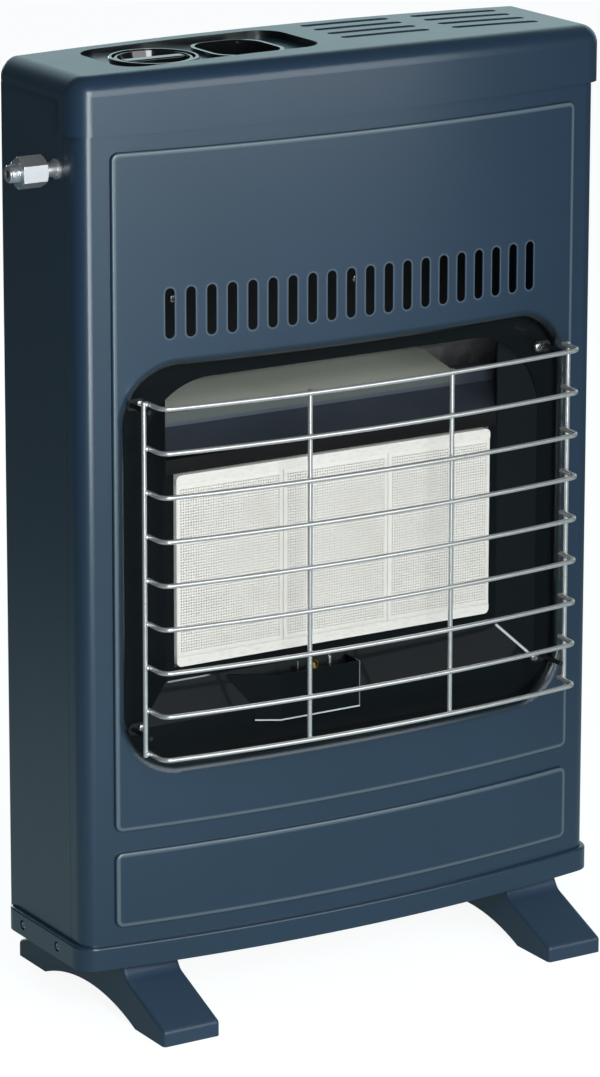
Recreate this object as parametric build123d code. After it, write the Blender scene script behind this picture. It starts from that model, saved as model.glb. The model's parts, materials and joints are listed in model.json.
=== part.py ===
from build123d import *
import os
from math import sqrt

# Slim radiant gas cabinet heater on two feet, in millimetres.
# +Z is up, the bowed front faces -Y, the gas inlet stands out of the left side (-X).
# While it is modelled X = 0 is the middle of the cabinet and Y = 0 the middle of its depth.
# Every node is moved along X at the end, so that the origin is under the middle of the whole.

# ---------------------------------------------------------------- driving dimensions

# Cabinet
cabinet_width = 450.0
cabinet_depth = 135.0        # crest of the bow to the back
bow_radius = 1250.0
corner_radius = 13.0         # upright front corners
seam_setback = 40.0          # crest of the bow back to the seam of front and side
panel_sheet = 1.0
foot_height = 44.0
plinth_height = 18.0
overhang = 4.0               # lid and plinth stand out this far all round
seat_gap = 0.3               # clearance between pieces that slip over each other
lid_edge_height = 716.0      # floor to the top of the lid at its ends
lid_crown = 4.0              # rise of the lid in the middle
lid_wall = 2.2
lid_round = 14.0             # radius along the top edges
lid_back_corner = 14.0
header_height = 42.5         # front skirt of the lid
skirt_height = 18.0          # side and back skirt of the lid
ledge_thickness = 2.0
ledge_width = 6.0
side_panel_rise = 6.0        # panels stand this far into the lid
return_flange = 12.0         # inward flanges of the side panels

# Front pressing
field_rise = 3.0
field_margin = 24.0          # side of the cabinet to the raised fields
field_head = 12.5            # main field below the header of the lid
field_gap = 16.0             # plain strip between the two fields
field_foot = 13.0            # lower field above the plinth
field_corner = 6.0
field_edge_round = 2.0
window_margin = 35.0         # side of the cabinet to the clear opening
window_rise = 135.0          # clear opening above the plinth
window_apron = 47.5          # main field below the clear opening
window_corner = 42.0
lip_round = 7.0
lip_depth = 21.5             # crest of the bow back to the rear edge of the rolled lip
slot_count = 20
slot_margin = 68.25          # side of the cabinet to the middle of the first slot
slot_width = 7.5
slot_length = 37.5
slot_drop = 102.5            # top of the slots below the top of the main field
slot_sill = 22.0             # slots above the clear opening

# Lid pocket, wells and louvres
pocket_margin = 47.0         # side of the cabinet to the pocket
pocket_length = 170.0
pocket_front_margin = 31.5   # crest of the bow back to the pocket
pocket_back_margin = 20.5
pocket_corner = 20.0
pocket_sink = 2.0            # floor of the pocket below the ends of the lid
knob_inset = 46.0            # left end of the pocket to the knob
control_setback = 72.5       # crest of the bow back to the knob and the igniter
control_pitch = 71.0         # knob to igniter
bezel_height = 2.8
bezel_wall = 2.6
bezel_gap = 1.3              # between knob and bezel
well_width = 60.0
well_depth = 66.0            # front to back
well_corner = 22.0
well_wall = 1.6
well_sink = 14.0             # floor of the well below the floor of the pocket
louvre_width = 8.0
louvre_rows = 4
louvre_inset = 25.5          # pocket to the first group
louvre_gap = 21.0            # between the two groups
louvre_end = 32.5            # second group to the side of the cabinet
louvre_front_margin = 53.5
louvre_back_margin = 23.6
blade_drop = 5.0
blade_sheet = 1.2

# Knob, tap and igniter
knob_radius = 29.6
knob_proud = 2.0             # top of the knob above the floor of the pocket
knob_rim = 5.1               # rim round the dish
knob_dish_depth = 9.0
knob_wall = 2.2
knob_height = 17.0
grip_width = 10.0
knob_travel = 4.0
spindle_radius = 4.0
running_gap = 0.05
hub_height = 20.0
washer_radius = 9.5
washer_thickness = 1.4
spring_radius = 6.6
spring_wire = 0.6            # radius of the wire
spring_turns = 5
tap_drop = 80.0              # top of the knob down to the bottom of the tap
tap_left = 16.0              # knob axis to the left face of the tap body
tap_half_depth = 25.0
tap_height = 30.0
bonnet_radius = 12.0
bonnet_height = 8.0
bracket_sheet = 1.5
bracket_flange = 14.0
igniter_wall = 1.3
igniter_length = 42.0
igniter_flange_width = 3.0
igniter_flange = 1.6
button_radius = 7.4
button_gap = 0.3
button_rise = 8.0
button_depth = 10.0
igniter_bore_depth = 26.0

# Gas way
inlet_setback = 51.0         # crest of the bow back to the gas inlet
inlet_rise = 10.0            # gas inlet above the bottom of the tap
stub_radius = 6.58
stub_length = 8.0
inlet_hex = 21.0             # across flats
inlet_hex_length = 20.0
collar_wall = 1.5
collar_length = 12.0
shoulder_width = 2.0
shoulder_thickness = 1.5
fitting_tail = 20.0          # length inside the side panel
fitting_bore = 3.0
nut_hex = 16.0
nut_length = 6.0
pipe_radius = 4.0
pipe_bend = 22.0
feed_pipe_margin = 29.0      # side of the cabinet to the feed pipe
manifold_drop = 78.0         # bottom of the manifold below the burner
manifold_size = 14.0
injector_hex = 8.0
injector_length = 10.0
injector_bore = 0.6          # radius
primary_air_gap = 3.0
venturi_radius = 8.0
venturi_mouth_radius = 13.0
venturi_wall = 1.0

# Burner
burner_margin = 86.5         # side of the cabinet to the row of plaques
burner_rise = 66.0           # burner above the clear opening's lower edge
plaque_height = 132.0
plaque_thickness = 13.0
plaque_count = 3
plaque_gap = 0.5
plaque_border = 2.6
plaque_recess = 0.5
plaque_proud = 3.0           # plaques in front of the back wall of the tray
seal_height = 7.5
housing_wall = 1.2
housing_gap = 0.8
housing_chamber = 36.0       # back of the plaques to the back of the housing
housing_flange = 9.0
housing_ledge = 5.0

# Firebox tray
tray_sheet = 1.0
tray_depth = 12.0            # rim to back wall
tray_margin = 8.5            # back wall beside the plaques
tray_foot = 11.0             # back wall below the burner
tray_bevel = 28.0
tray_overlap = 7.0           # rim behind the window lip at the sides
tray_foot_overlap = 8.0
tray_head_overlap = 9.0
tray_rim_drop = 14.0         # the rim shows this far below the window's upper edge
tray_rim_corner = 60.0
reflector_margin = 57.0
reflector_setback = 71.5     # crest of the bow back to the reflector's top
reflector_rise = 14.0
reflector_step = 10.0        # upright part behind the lip of the shelf
shelf_inset = 6.5            # shelf shorter than the row of plaques at each end
shelf_rise = 9.0
shelf_lip = 7.0
shelf_back_gap = 5.5
shield_gap = 17.5            # shields in front of the back of the cabinet
lower_shield_foot = 1.0      # below the clear opening
upper_shield_gap = 20.0
upper_shield_head = 51.5     # above the slots
upper_shield_margin = 20.0

# Pilot
hood_sheet = 1.0
hood_left = -60.0
hood_right = 10.0
hood_head = 2.0              # hood below the back wall of the tray
hood_height = 36.0
hood_depth = 19.0
hood_spread = 38.0
pilot_x = -28.0
pilot_plate_rise = 16.0      # plate above the bottom of the hood
pilot_radius = 3.2
probe_radius = 1.7
probe_pitch = 14.0
ceramic_radius = 2.4
electrode_wire = 0.7         # radius
pilot_pipe_radius = 1.75
pilot_pipe_bend = 5.0
pilot_pipe_margin = 45.0
pilot_pipe_foot = 7.0        # above the bottom of the tray
pilot_pipe_drop = 11.0       # level run below the plate

# Guard
wire_radius = 1.8
wire_count = 9
guard_foot = 16.0            # lowest wire above the clear opening's lower edge
guard_head = 21.2            # highest wire below its upper edge
guard_stand_off = 38.0
guard_bend = 8.0
guard_inset = 4.5            # side bars inside the clear opening
guard_side_setback = -4.5    # side bars stand in front of the crest of the bow
weld_gap = 0.05
lug_head = 6.0               # upper lugs below the highest wire
lug_foot = 12.0              # lower lugs above the lowest wire
tab_inset = 7.0
tab_radius = 4.4
tab_sheet = 1.5
guard_screw_radius = 1.9
guard_screw_head = 3.6

# Feet
foot_margin = 54.0           # side of the cabinet to the middle of a foot
foot_width = 48.0
foot_half_length = 113.5
foot_toe_height = 12.0
foot_knee_y = 56.0
foot_knee_drop = 9.0
foot_pad_start = 70.0
foot_arch_rise = 14.0
foot_round = 3.0
foot_screw_seat = 12.0       # plastic under the plinth at the screws

# Vents and screws
vent_width = 5.0
vent_length = 42.0
screw_radius = 1.75
screw_head_radius = 3.6
screw_head_height = 2.2
screw_gap = 0.15
lid_screw_margin = 75.0
lid_screw_head = 1.6

# ---------------------------------------------------------------- derived places

# Across the cabinet
half_width = cabinet_width / 2
lid_half_width = half_width + overhang
field_half_width = half_width - field_margin
window_half_width = half_width - window_margin
slot_pitch = 2 * (half_width - slot_margin) / (slot_count - 1)
pocket_left = pocket_margin - half_width
pocket_right = pocket_left + pocket_length
knob_x = pocket_left + knob_inset
igniter_x = knob_x + control_pitch
louvre_length = (half_width - louvre_end - pocket_right - louvre_inset - louvre_gap) / 2
louvre_group_left = pocket_right + louvre_inset + louvre_length / 2
louvre_group_pitch = louvre_length + louvre_gap
burner_half_width = half_width - burner_margin
plaque_width = (2 * burner_half_width - (plaque_count - 1) * plaque_gap) / plaque_count
tray_half_width = burner_half_width + tray_margin
tray_flange_half = window_half_width + tray_overlap
reflector_half_width = half_width - reflector_margin
shelf_half_width = burner_half_width - shelf_inset
shield_half_width = tray_half_width + 5.0
guard_side_x = window_half_width - guard_inset
upright_x = guard_side_x / 3
lug_x = guard_side_x - 2 * wire_radius - weld_gap
lug_screw_x = lug_x - tab_inset
feed_pipe_x = feed_pipe_margin - half_width
pilot_pipe_x = pilot_pipe_margin - half_width
foot_x = half_width - foot_margin
lid_screw_x = half_width - lid_screw_margin

# Front to back
front_y = -cabinet_depth / 2
back_y = cabinet_depth / 2
seam_y = front_y + seam_setback
bow_centre_y = front_y + bow_radius
lip_plane = front_y + lip_depth
tray_front = lip_plane + tray_depth
plaque_front = tray_front - plaque_proud
plaque_back = plaque_front + plaque_thickness
housing_back = plaque_back + housing_chamber
control_y = front_y + control_setback
inlet_y = front_y + inlet_setback
reflector_back = front_y + reflector_setback
shelf_back = back_y - shelf_back_gap
shield_y = back_y - shield_gap
pocket_front = front_y + pocket_front_margin
pocket_back = back_y - pocket_back_margin
louvre_front_row = front_y + louvre_front_margin
louvre_pitch = (back_y - louvre_back_margin - louvre_front_row) / (louvre_rows - 1)
wire_front = front_y - guard_stand_off
guard_side_y = front_y + guard_side_setback

# Up the cabinet, from the feet
plinth_bottom = foot_height
plinth_top = foot_height + plinth_height
plinth_floor = 2.0
panel_bottom = plinth_bottom + plinth_floor
window_bottom = plinth_top + window_rise
main_field_bottom = window_bottom - window_apron
lower_field_top = main_field_bottom - field_gap
lower_field_bottom = plinth_top + field_foot
burner_bottom = window_bottom + burner_rise
burner_top = burner_bottom + plaque_height + 2 * seal_height
tray_bottom = burner_bottom - tray_foot
tray_flange_bottom = window_bottom - tray_foot_overlap
hood_top = tray_bottom - hood_head
hood_bottom = hood_top - hood_height
pilot_plate_z = hood_bottom + pilot_plate_rise
pilot_pipe_z = pilot_plate_z - pilot_pipe_drop
pilot_pipe_low = tray_flange_bottom + pilot_pipe_foot
manifold_bottom = burner_bottom - manifold_drop
lower_shield_bottom = window_bottom - lower_shield_foot
foot_knee_height = foot_height - foot_knee_drop

# Down the cabinet, from the lid
lid_top = lid_edge_height + lid_crown
crown_radius = lid_crown / 2 + lid_half_width ** 2 / (2 * lid_crown)
header_bottom = lid_edge_height - header_height
skirt_bottom = lid_edge_height - skirt_height
panel_top = skirt_bottom + side_panel_rise
main_field_top = header_bottom - field_head
slot_top = main_field_top - slot_drop
slot_bottom = slot_top - slot_length
window_top = slot_bottom - slot_sill
window_middle = (window_bottom + window_top) / 2
tray_top = window_top + tray_head_overlap
guard_bottom = window_bottom + guard_foot
guard_top = window_top - guard_head
wire_pitch = (guard_top - guard_bottom) / (wire_count - 1)
lug_z = (guard_bottom + lug_foot, guard_top - lug_head)
pocket_floor = lid_edge_height - pocket_sink
well_floor = pocket_floor - well_sink
upper_shield_top = slot_top + upper_shield_head

# Knob, tap and igniter
bezel_outer_radius = knob_radius + bezel_gap + bezel_wall
knob_top = pocket_floor + knob_proud
knob_bottom = knob_top - knob_height
knob_dish_radius = knob_radius - knob_rim
knob_dish_floor = knob_top - knob_dish_depth
grip_length = 2 * knob_dish_radius + 1.0
hub_radius = 2 * spindle_radius
tap_bottom = knob_top - tap_drop
inlet_z = tap_bottom + inlet_rise
igniter_radius = button_radius + button_gap + igniter_wall
igniter_flange_radius = igniter_radius + igniter_flange_width
collar_radius = pipe_radius + collar_wall
shoulder_radius = collar_radius + shoulder_width

nodes = {}


# ---------------------------------------------------------------- small helpers

def block(x0, x1, y0, y1, z0, z1):
    middle = Pos((x0 + x1) / 2, (y0 + y1) / 2, (z0 + z1) / 2)
    return middle * Box(abs(x1 - x0), abs(y1 - y0), abs(z1 - z0))


def rod_x(y, z, x0, x1, radius):
    return Pos((x0 + x1) / 2, y, z) * Rot(0, 90, 0) * Cylinder(radius, abs(x1 - x0))


def rod_y(x, z, y0, y1, radius):
    return Pos(x, (y0 + y1) / 2, z) * Rot(90, 0, 0) * Cylinder(radius, abs(y1 - y0))


def rod_z(x, y, z0, z1, radius):
    return Pos(x, y, (z0 + z1) / 2) * Cylinder(radius, abs(z1 - z0))


# A round hole from top to bottom through a whole piece
def through_z(x, y, radius):
    return rod_z(x, y, -1, lid_top + 1, radius)


# A plan outline pushed up from z0 to z1
def prism_z(face, z0, z1):
    return Pos(0, 0, z0) * extrude(face, z1 - z0)


# An outline drawn as (x, z), pushed from y0 to y1
def prism_y(face, y0, y1):
    return Plane((0, y1, 0), x_dir=(1, 0, 0), z_dir=(0, -1, 0)) * extrude(face, y1 - y0)


# An outline drawn as (y, z), pushed from x0 to x1
def prism_x(face, x0, x1):
    return Plane((x0, 0, 0), x_dir=(0, 1, 0), z_dir=(1, 0, 0)) * extrude(face, x1 - x0)


# An outline through the given points, always facing up
def polygon(*points):
    pairs = zip(points, points[1:] + points[:1])
    turn = sum(a[0] * b[1] - b[0] * a[1] for a, b in pairs)
    return Polygon(*(points if turn > 0 else points[::-1]), align=None)


def hexagon(across_flats):
    return RegularPolygon(across_flats / sqrt(3), 6)


def hex_x(y, z, x0, x1, across_flats):
    return Pos(x0, y, z) * Rot(0, 90, 0) * extrude(hexagon(across_flats), x1 - x0)


def hex_z(x, y, z0, z1, across_flats):
    return Pos(x, y, z0) * extrude(hexagon(across_flats), z1 - z0)


# Both a piece and its mirror image across the middle of the cabinet
def mirrored(piece):
    return mirror(piece, about=Plane.YZ)


def group(pieces):
    return Compound(children=[solid for piece in pieces for solid in piece.solids()])


# Depth of the bowed front at a given distance from the middle
def bow_y(x, grow):
    return bow_centre_y - sqrt((bow_radius + grow) ** 2 - x * x)


# Plan outline of the cabinet, grown outwards, from the bow back to the line y = back
def bow_plan(grow, back):
    deep = back - front_y + grow
    slab = Pos(0, back - deep / 2) * Rectangle(2 * (half_width + grow), deep)
    disc = Pos(0, bow_centre_y) * Circle(bow_radius + grow)
    outline = slab & disc
    corners = outline.vertices().sort_by(Axis.Y)[:2]
    return fillet(corners, corner_radius + grow)


def bow_block(grow, back, z0, z1):
    return prism_z(bow_plan(grow, back), z0, z1)


# A tube that follows a path of straight runs with tangent bends
def pipe_run(points, bend, radius):
    path = FilletPolyline(*points, radius=bend)
    section = Plane(path @ 0, z_dir=path % 0) * Circle(radius)
    return sweep(section, path=path)


# Round-headed screw along +Y, its head standing out towards -Y from the face at y
def screw_y(x, z, face, length, shank, head, height):
    shaft = rod_y(x, z, face, face + length, shank)
    cap = rod_y(x, z, face - height, face, head)
    rim = cap.edges().sort_by(Axis.Y)[0]
    return shaft + fillet(rim, height * 0.6)


# ---------------------------------------------------------------- front panel

def field_prism(inset, low, high):
    outline = RectangleRounded(2 * (field_half_width - inset), high - low - 2 * inset,
                               field_corner - inset)
    return prism_y(Pos(0, (low + high) / 2) * outline, front_y - 3 * field_rise, seam_y)


# A raised field of the front pressing; its edge is rounded
def raised_field(inset, low, high):
    slab = bow_block(field_rise - inset, seam_y, low - 1, high + 1)
    pad = slab & field_prism(inset, low, high)
    face = pad.faces().sort_by(Axis.Y)[0]
    return fillet(face.edges(), max(field_edge_round - inset, 0.3))


def pressing(inset, z0, z1, back):
    body = bow_block(-inset, back, z0, z1)
    body += raised_field(inset, main_field_bottom, main_field_top)
    body += raised_field(inset, lower_field_bottom, lower_field_top)
    return body


def window_outline(grow):
    outline = RectangleRounded(2 * (window_half_width + grow),
                               window_top - window_bottom + 2 * grow, window_corner + grow)
    return Pos(0, window_middle) * outline


# The pressing with the window through it; the window's front rim is rolled inwards
def windowed(body, grow, roll):
    body -= prism_y(window_outline(grow), front_y - 3 * field_rise, back_y)
    fronts = [f for f in body.faces() if f.inner_wires()]
    face = sorted(fronts, key=lambda f: f.center().Y)[0]
    return fillet(face.inner_wires()[0].edges(), roll)


def make_front_panel():
    outer = windowed(pressing(0, panel_bottom, panel_top, seam_y), 0, lip_round)
    inner = windowed(pressing(panel_sheet, panel_bottom - 1, panel_top + 1, seam_y + 1),
                     panel_sheet, lip_round - panel_sheet)
    panel = outer - inner
    panel -= prism_y(window_outline(panel_sheet + 1), lip_plane, seam_y + 1)
    slot_length = slot_top - slot_bottom
    slot = Pos(0, (slot_top + slot_bottom) / 2) * SlotOverall(slot_length, slot_width, rotation=90)
    for i in range(slot_count):
        x = (i - (slot_count - 1) / 2) * slot_pitch
        panel -= prism_y(Pos(x, 0) * slot, front_y - 3 * field_rise, seam_y)
    return panel


nodes["front_panel"] = make_front_panel()


# ---------------------------------------------------------------- side and back panels

tongue_length = 8.0
tongue_gap = 0.3
tongue_outer = half_width - panel_sheet - tongue_gap
plinth_screw_y = (-12.0, 42.0)
plinth_screw_z = plinth_bottom + plinth_height / 2


def make_side_panel():
    wall = block(half_width - panel_sheet, half_width, seam_y + tongue_gap, back_y, panel_bottom,
                 panel_top)
    joggle = block(tongue_outer - panel_sheet, half_width, seam_y + tongue_gap,
                   seam_y + tongue_gap + panel_sheet, panel_bottom, panel_top)
    tongue = block(tongue_outer - panel_sheet, tongue_outer, seam_y - tongue_length,
                   seam_y + tongue_gap + panel_sheet, panel_bottom, panel_top)
    rear = block(half_width - return_flange, half_width, back_y - 2 * panel_sheet,
                 back_y - panel_sheet, panel_bottom, panel_top)
    top = block(half_width - return_flange, half_width, seam_y + return_flange, back_y - 2 * panel_sheet,
                panel_top - panel_sheet, panel_top)
    base = block(half_width - return_flange, half_width, seam_y + return_flange, back_y - 2 * panel_sheet,
                 panel_bottom, panel_bottom + panel_sheet)
    panel = wall + joggle + tongue + rear + top + base
    for y in plinth_screw_y:
        panel -= rod_x(y, plinth_screw_z, half_width - 2, half_width + 1, screw_radius + screw_gap)
    for z in back_screw_z:
        panel -= rod_y(half_width - return_flange / 2, z, back_y - 3, back_y,
                       screw_radius + screw_gap)
    return panel


lid_screw_z = skirt_bottom + 3.2
back_screw_z = [panel_bottom + 20, (panel_bottom + panel_top) / 2, panel_top - 22]
right_panel = make_side_panel()
left_panel = mirrored(right_panel)
left_panel -= rod_x(inlet_y, inlet_z, -half_width - 1, -half_width + 2, collar_radius + seat_gap)
nodes["left_side_panel"] = left_panel
nodes["right_side_panel"] = right_panel

back_half_width = half_width - panel_sheet - seat_gap
vent_rows = 5
vent_columns = 6


def make_back_panel():
    panel = block(-back_half_width, back_half_width, back_y - panel_sheet, back_y,
                  panel_bottom, panel_top)
    vent = SlotOverall(vent_length, vent_width)
    for bottom in (plinth_top + 48, panel_top - 144):
        for row in range(vent_rows):
            for column in range(vent_columns):
                x = (column - (vent_columns - 1) / 2) * (vent_length + 18)
                place = Pos(x, bottom + row * 3 * vent_width)
                panel -= prism_y(place * vent, back_y - 2, back_y + 1)
    for side in (-1, 1):
        for z in back_screw_z:
            panel -= rod_y(side * (half_width - return_flange / 2), z, back_y - 3, back_y + 1,
                           screw_radius + screw_gap)
    for side in (-1, 1):
        panel -= rod_y(side * lid_screw_x, lid_screw_z, back_y - 3, back_y + 1,
                       screw_radius + screw_gap)
    return panel


nodes["back_panel"] = make_back_panel()


# ---------------------------------------------------------------- lid

def lid_block(inset, low):
    plan = bow_plan(overhang - inset, back_y + overhang - inset)
    rear = plan.vertices().sort_by(Axis.Y)[-2:]
    plan = fillet(rear, lid_back_corner - inset)
    slab = prism_z(plan, low, lid_top + 10)
    disc = Pos(0, lid_top - crown_radius) * Circle(crown_radius - inset)
    strip = Pos(0, (low + lid_top) / 2) * Rectangle(3 * lid_half_width, lid_top - low + 4)
    cap = slab & prism_y(disc & strip, -cabinet_depth, cabinet_depth)
    top = cap.faces().sort_by(Axis.Z)[-1]
    return fillet(top.edges(), lid_round - inset)


def well_outline(inset):
    return Pos(igniter_x, control_y) * RectangleRounded(
        well_width - 2 * inset, well_depth - 2 * inset, well_corner - inset)


def pocket_outline(grow):
    wide = pocket_right - pocket_left
    deep = pocket_back - pocket_front
    centre = Pos((pocket_left + pocket_right) / 2, (pocket_front + pocket_back) / 2)
    return centre * RectangleRounded(wide + 2 * grow, deep + 2 * grow, pocket_corner + grow)


bezel_inner_radius = bezel_outer_radius - bezel_wall
bezel_spigot_radius = bezel_outer_radius - 1.0
pocket_base = pocket_floor - lid_wall
ledge_bottom = panel_top + seat_gap


# Sloping blade that closes the view into a louvre; it hangs from the slot's rear edge
def louvre_blade(x, y):
    high = lid_top - x ** 2 / (2 * crown_radius) - lid_wall / 2
    low = high - blade_drop
    rear = y + louvre_width / 2
    front = y - louvre_width / 2
    side = polygon((rear + 0.6, high), (rear - 0.6, high), (front, low), (front, low - blade_sheet),
                   (rear + 0.6, high - blade_sheet))
    reach = (louvre_length - louvre_width / 2) / 2
    return prism_x(side, x - reach, x + reach)


def make_lid():
    lid = lid_block(0, header_bottom)
    hollow = lid_block(lid_wall, header_bottom)
    hollow -= block(-cabinet_width, cabinet_width, -cabinet_depth, cabinet_depth,
                    header_bottom - 1, ledge_bottom + ledge_thickness)
    hollow -= prism_z(pocket_outline(lid_wall), pocket_base, lid_top)
    lid -= hollow
    lid -= bow_block(seat_gap, back_y + seat_gap, header_bottom - 1, ledge_bottom)
    lid -= bow_block(-ledge_width, back_y - ledge_width, ledge_bottom - 1,
                     ledge_bottom + ledge_thickness)
    lid -= block(-lid_half_width - 1, lid_half_width + 1, seam_y, back_y + overhang + 1,
                 header_bottom - 1, skirt_bottom)
    lid -= prism_z(pocket_outline(0), pocket_floor, lid_top + 1)
    lid -= rod_z(knob_x, control_y, pocket_base - 1, pocket_floor + 1, bezel_spigot_radius + seat_gap)
    lid -= prism_z(well_outline(1.2 - seat_gap), pocket_base - 1, pocket_floor + 1)
    for side in (-1, 1):
        lid -= rod_y(side * lid_screw_x, lid_screw_z, back_y - 1, back_y + overhang + 1,
                     screw_radius + screw_gap)
    slot = SlotOverall(louvre_length, louvre_width)
    for i in range(2):
        x = louvre_group_left + i * louvre_group_pitch
        for row in range(louvre_rows):
            y = louvre_front_row + row * louvre_pitch
            lid -= prism_z(Pos(x, y) * slot, ledge_bottom + ledge_thickness + 0.5, lid_top + 1)
            lid += louvre_blade(x, y)
    return lid


nodes["top_lid"] = make_lid()

# Bezel ring round the knob
bezel_spigot = 4.0
bezel = rod_z(knob_x, control_y, pocket_floor, pocket_floor + bezel_height, bezel_outer_radius)
bezel = fillet(bezel.edges().sort_by(Axis.Z)[-1], 1.0)
bezel += rod_z(knob_x, control_y, pocket_base - bezel_spigot, pocket_floor, bezel_spigot_radius)
bezel -= through_z(knob_x, control_y, bezel_inner_radius)
nodes["knob_bezel"] = bezel

# Black cup round the igniter button
cup_rim = pocket_floor + bezel_height
cup = prism_z(well_outline(0), pocket_floor, cup_rim)
cup += prism_z(well_outline(1.2), well_floor - well_wall, pocket_floor)
cup -= prism_z(well_outline(1.2 + well_wall), well_floor, cup_rim + 1)
cup -= rod_z(igniter_x, control_y, well_floor - 3, well_floor + 1, igniter_radius + seat_gap)
nodes["igniter_cup"] = cup


# ---------------------------------------------------------------- plinth and feet

foot_screw_y = (-34.0, 34.0)


def make_plinth():
    tray = bow_block(overhang, back_y + overhang, plinth_bottom, plinth_top)
    rear = [e for e in tray.edges().filter_by(Axis.Z) if e.center().Y > back_y]
    tray = fillet(rear, lid_back_corner)
    rims = tray.faces().sort_by(Axis.Z)
    tray = fillet(rims[-1].edges(), 2.0)
    tray -= bow_block(seat_gap, back_y + seat_gap, panel_bottom, plinth_top + 1)
    vent = SlotOverall(vent_length, vent_width)
    for row in range(4):
        for column in range(4):
            place = Pos((column - 1.5) * (vent_length + 14), (row - 1.5) * 18)
            tray -= prism_z(place * vent, plinth_bottom - 1, panel_bottom + 1)
    for side in (-1, 1):
        for y in foot_screw_y:
            tray -= rod_z(side * foot_x, y, plinth_bottom - 1, panel_bottom + 1,
                          screw_radius + screw_gap)
        for y in plinth_screw_y:
            a = side * (half_width - 1)
            b = side * (half_width + overhang + 1)
            tray -= rod_x(y, plinth_screw_z, a, b, screw_radius + screw_gap)
            c = side * (half_width + overhang - screw_head_height)
            tray -= rod_x(y, plinth_screw_z, c, b, screw_head_radius + 2 * screw_gap)
    return tray


nodes["base_plinth"] = make_plinth()


# One moulded foot: two toes, an arch between them and a flat seat under the plinth
def make_foot(x):
    arch_radius = (foot_pad_start ** 2 + foot_arch_rise ** 2) / (2 * foot_arch_rise)
    seat = foot_knee_y - 6.0
    outline = polygon((-foot_half_length, 0), (foot_half_length, 0),
                      (foot_half_length, foot_toe_height), (foot_knee_y, foot_knee_height),
                      (seat, foot_height), (-seat, foot_height),
                      (-foot_knee_y, foot_knee_height), (-foot_half_length, foot_toe_height))
    outline -= Pos(0, foot_arch_rise - arch_radius) * Circle(arch_radius)
    knees = [v for v in outline.vertices() if abs(abs(v.X) - foot_knee_y) < 0.01]
    outline = fillet(knees, 10.0)
    toes = [v for v in outline.vertices() if v.X ** 2 > (foot_half_length - 1) ** 2 and v.Y > 1]
    outline = fillet(toes, 4.0)
    foot = prism_x(outline, x - foot_width / 2, x + foot_width / 2)
    sides = foot.faces().filter_by(Axis.X)
    tops = [e for f in sides for e in f.edges() if e.center().Z > 4 and abs(e.center().Y) > seat]
    foot = fillet(tops, foot_round)
    for y in foot_screw_y:
        foot -= rod_z(x, y, -1, foot_height + 1, screw_radius + screw_gap)
        foot -= rod_z(x, y, -1, foot_height - foot_screw_seat, screw_head_radius + 1)
    return foot


nodes["left_foot"] = make_foot(-foot_x)
nodes["right_foot"] = make_foot(foot_x)

foot_screws = []
for side in (-1, 1):
    for y in foot_screw_y:
        seat = foot_height - foot_screw_seat
        shank = rod_z(side * foot_x, y, seat, panel_bottom + 2, screw_radius)
        head = rod_z(side * foot_x, y, seat - screw_head_height, seat, screw_head_radius)
        foot_screws.append(shank + head)
nodes["foot_screws"] = group(foot_screws)

plinth_screws = []
for side in (-1, 1):
    for y in plinth_screw_y:
        face = half_width + overhang - screw_head_height
        head = rod_x(y, plinth_screw_z, side * face, side * (face + screw_head_height - 0.4),
                     screw_head_radius)
        shank = rod_x(y, plinth_screw_z, side * (half_width - 4), side * face, screw_radius)
        plinth_screws.append(head + shank)
nodes["plinth_screws"] = group(plinth_screws)

back_screws = []
for side in (-1, 1):
    for z in back_screw_z:
        x = side * (half_width - return_flange / 2)
        head = rod_y(x, z, back_y, back_y + screw_head_height, screw_head_radius)
        back_screws.append(head + rod_y(x, z, back_y - 6, back_y, screw_radius))
nodes["back_panel_screws"] = group(back_screws)

lid_screws = []
for side in (-1, 1):
    x = side * lid_screw_x
    face = back_y + overhang
    head = rod_y(x, lid_screw_z, face, face + lid_screw_head, screw_head_radius)
    lid_screws.append(head + rod_y(x, lid_screw_z, back_y - 4, face, screw_radius))
nodes["lid_screws"] = group(lid_screws)


# ---------------------------------------------------------------- burner

def make_plaque(index):
    x = (index - (plaque_count - 1) / 2) * (plaque_width + plaque_gap)
    z = (burner_bottom + burner_top) / 2
    plaque = block(x - plaque_width / 2, x + plaque_width / 2, plaque_front, plaque_back,
                   z - plaque_height / 2, z + plaque_height / 2)
    recess = block(x - plaque_width / 2 + plaque_border, x + plaque_width / 2 - plaque_border,
                   plaque_front - 1, plaque_front + plaque_recess,
                   z - plaque_height / 2 + plaque_border, z + plaque_height / 2 - plaque_border)
    return plaque - recess


plaque_names = ["left", "middle", "right"]
for index, name in enumerate(plaque_names):
    nodes["ceramic_plaque_" + name] = make_plaque(index)

# Fibre strips above and below the plaques
top_strip = block(-burner_half_width, burner_half_width, plaque_front, plaque_back,
                  burner_top - seal_height, burner_top)
top_ends = [e for e in top_strip.edges().filter_by(Axis.Y) if e.center().Z > burner_top - 1]
top_strip = fillet(top_ends, 4.0)
bottom_strip = block(-burner_half_width, burner_half_width, plaque_front, plaque_back,
                     burner_bottom, burner_bottom + seal_height)
bottom_ends = [e for e in bottom_strip.edges().filter_by(Axis.Y) if e.center().Z < burner_bottom + 1]
bottom_strip = fillet(bottom_ends, 4.0)
nodes["plaque_seals"] = group([top_strip, bottom_strip])

mouth_half = burner_half_width + housing_gap
mouth_bottom = burner_bottom - housing_gap
mouth_top = burner_top + housing_gap
tray_back = tray_front + tray_sheet
box_half = mouth_half + housing_wall
box_bottom = mouth_bottom - housing_wall
box_top = mouth_top + housing_wall
burner_pitch = plaque_width + plaque_gap


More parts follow.
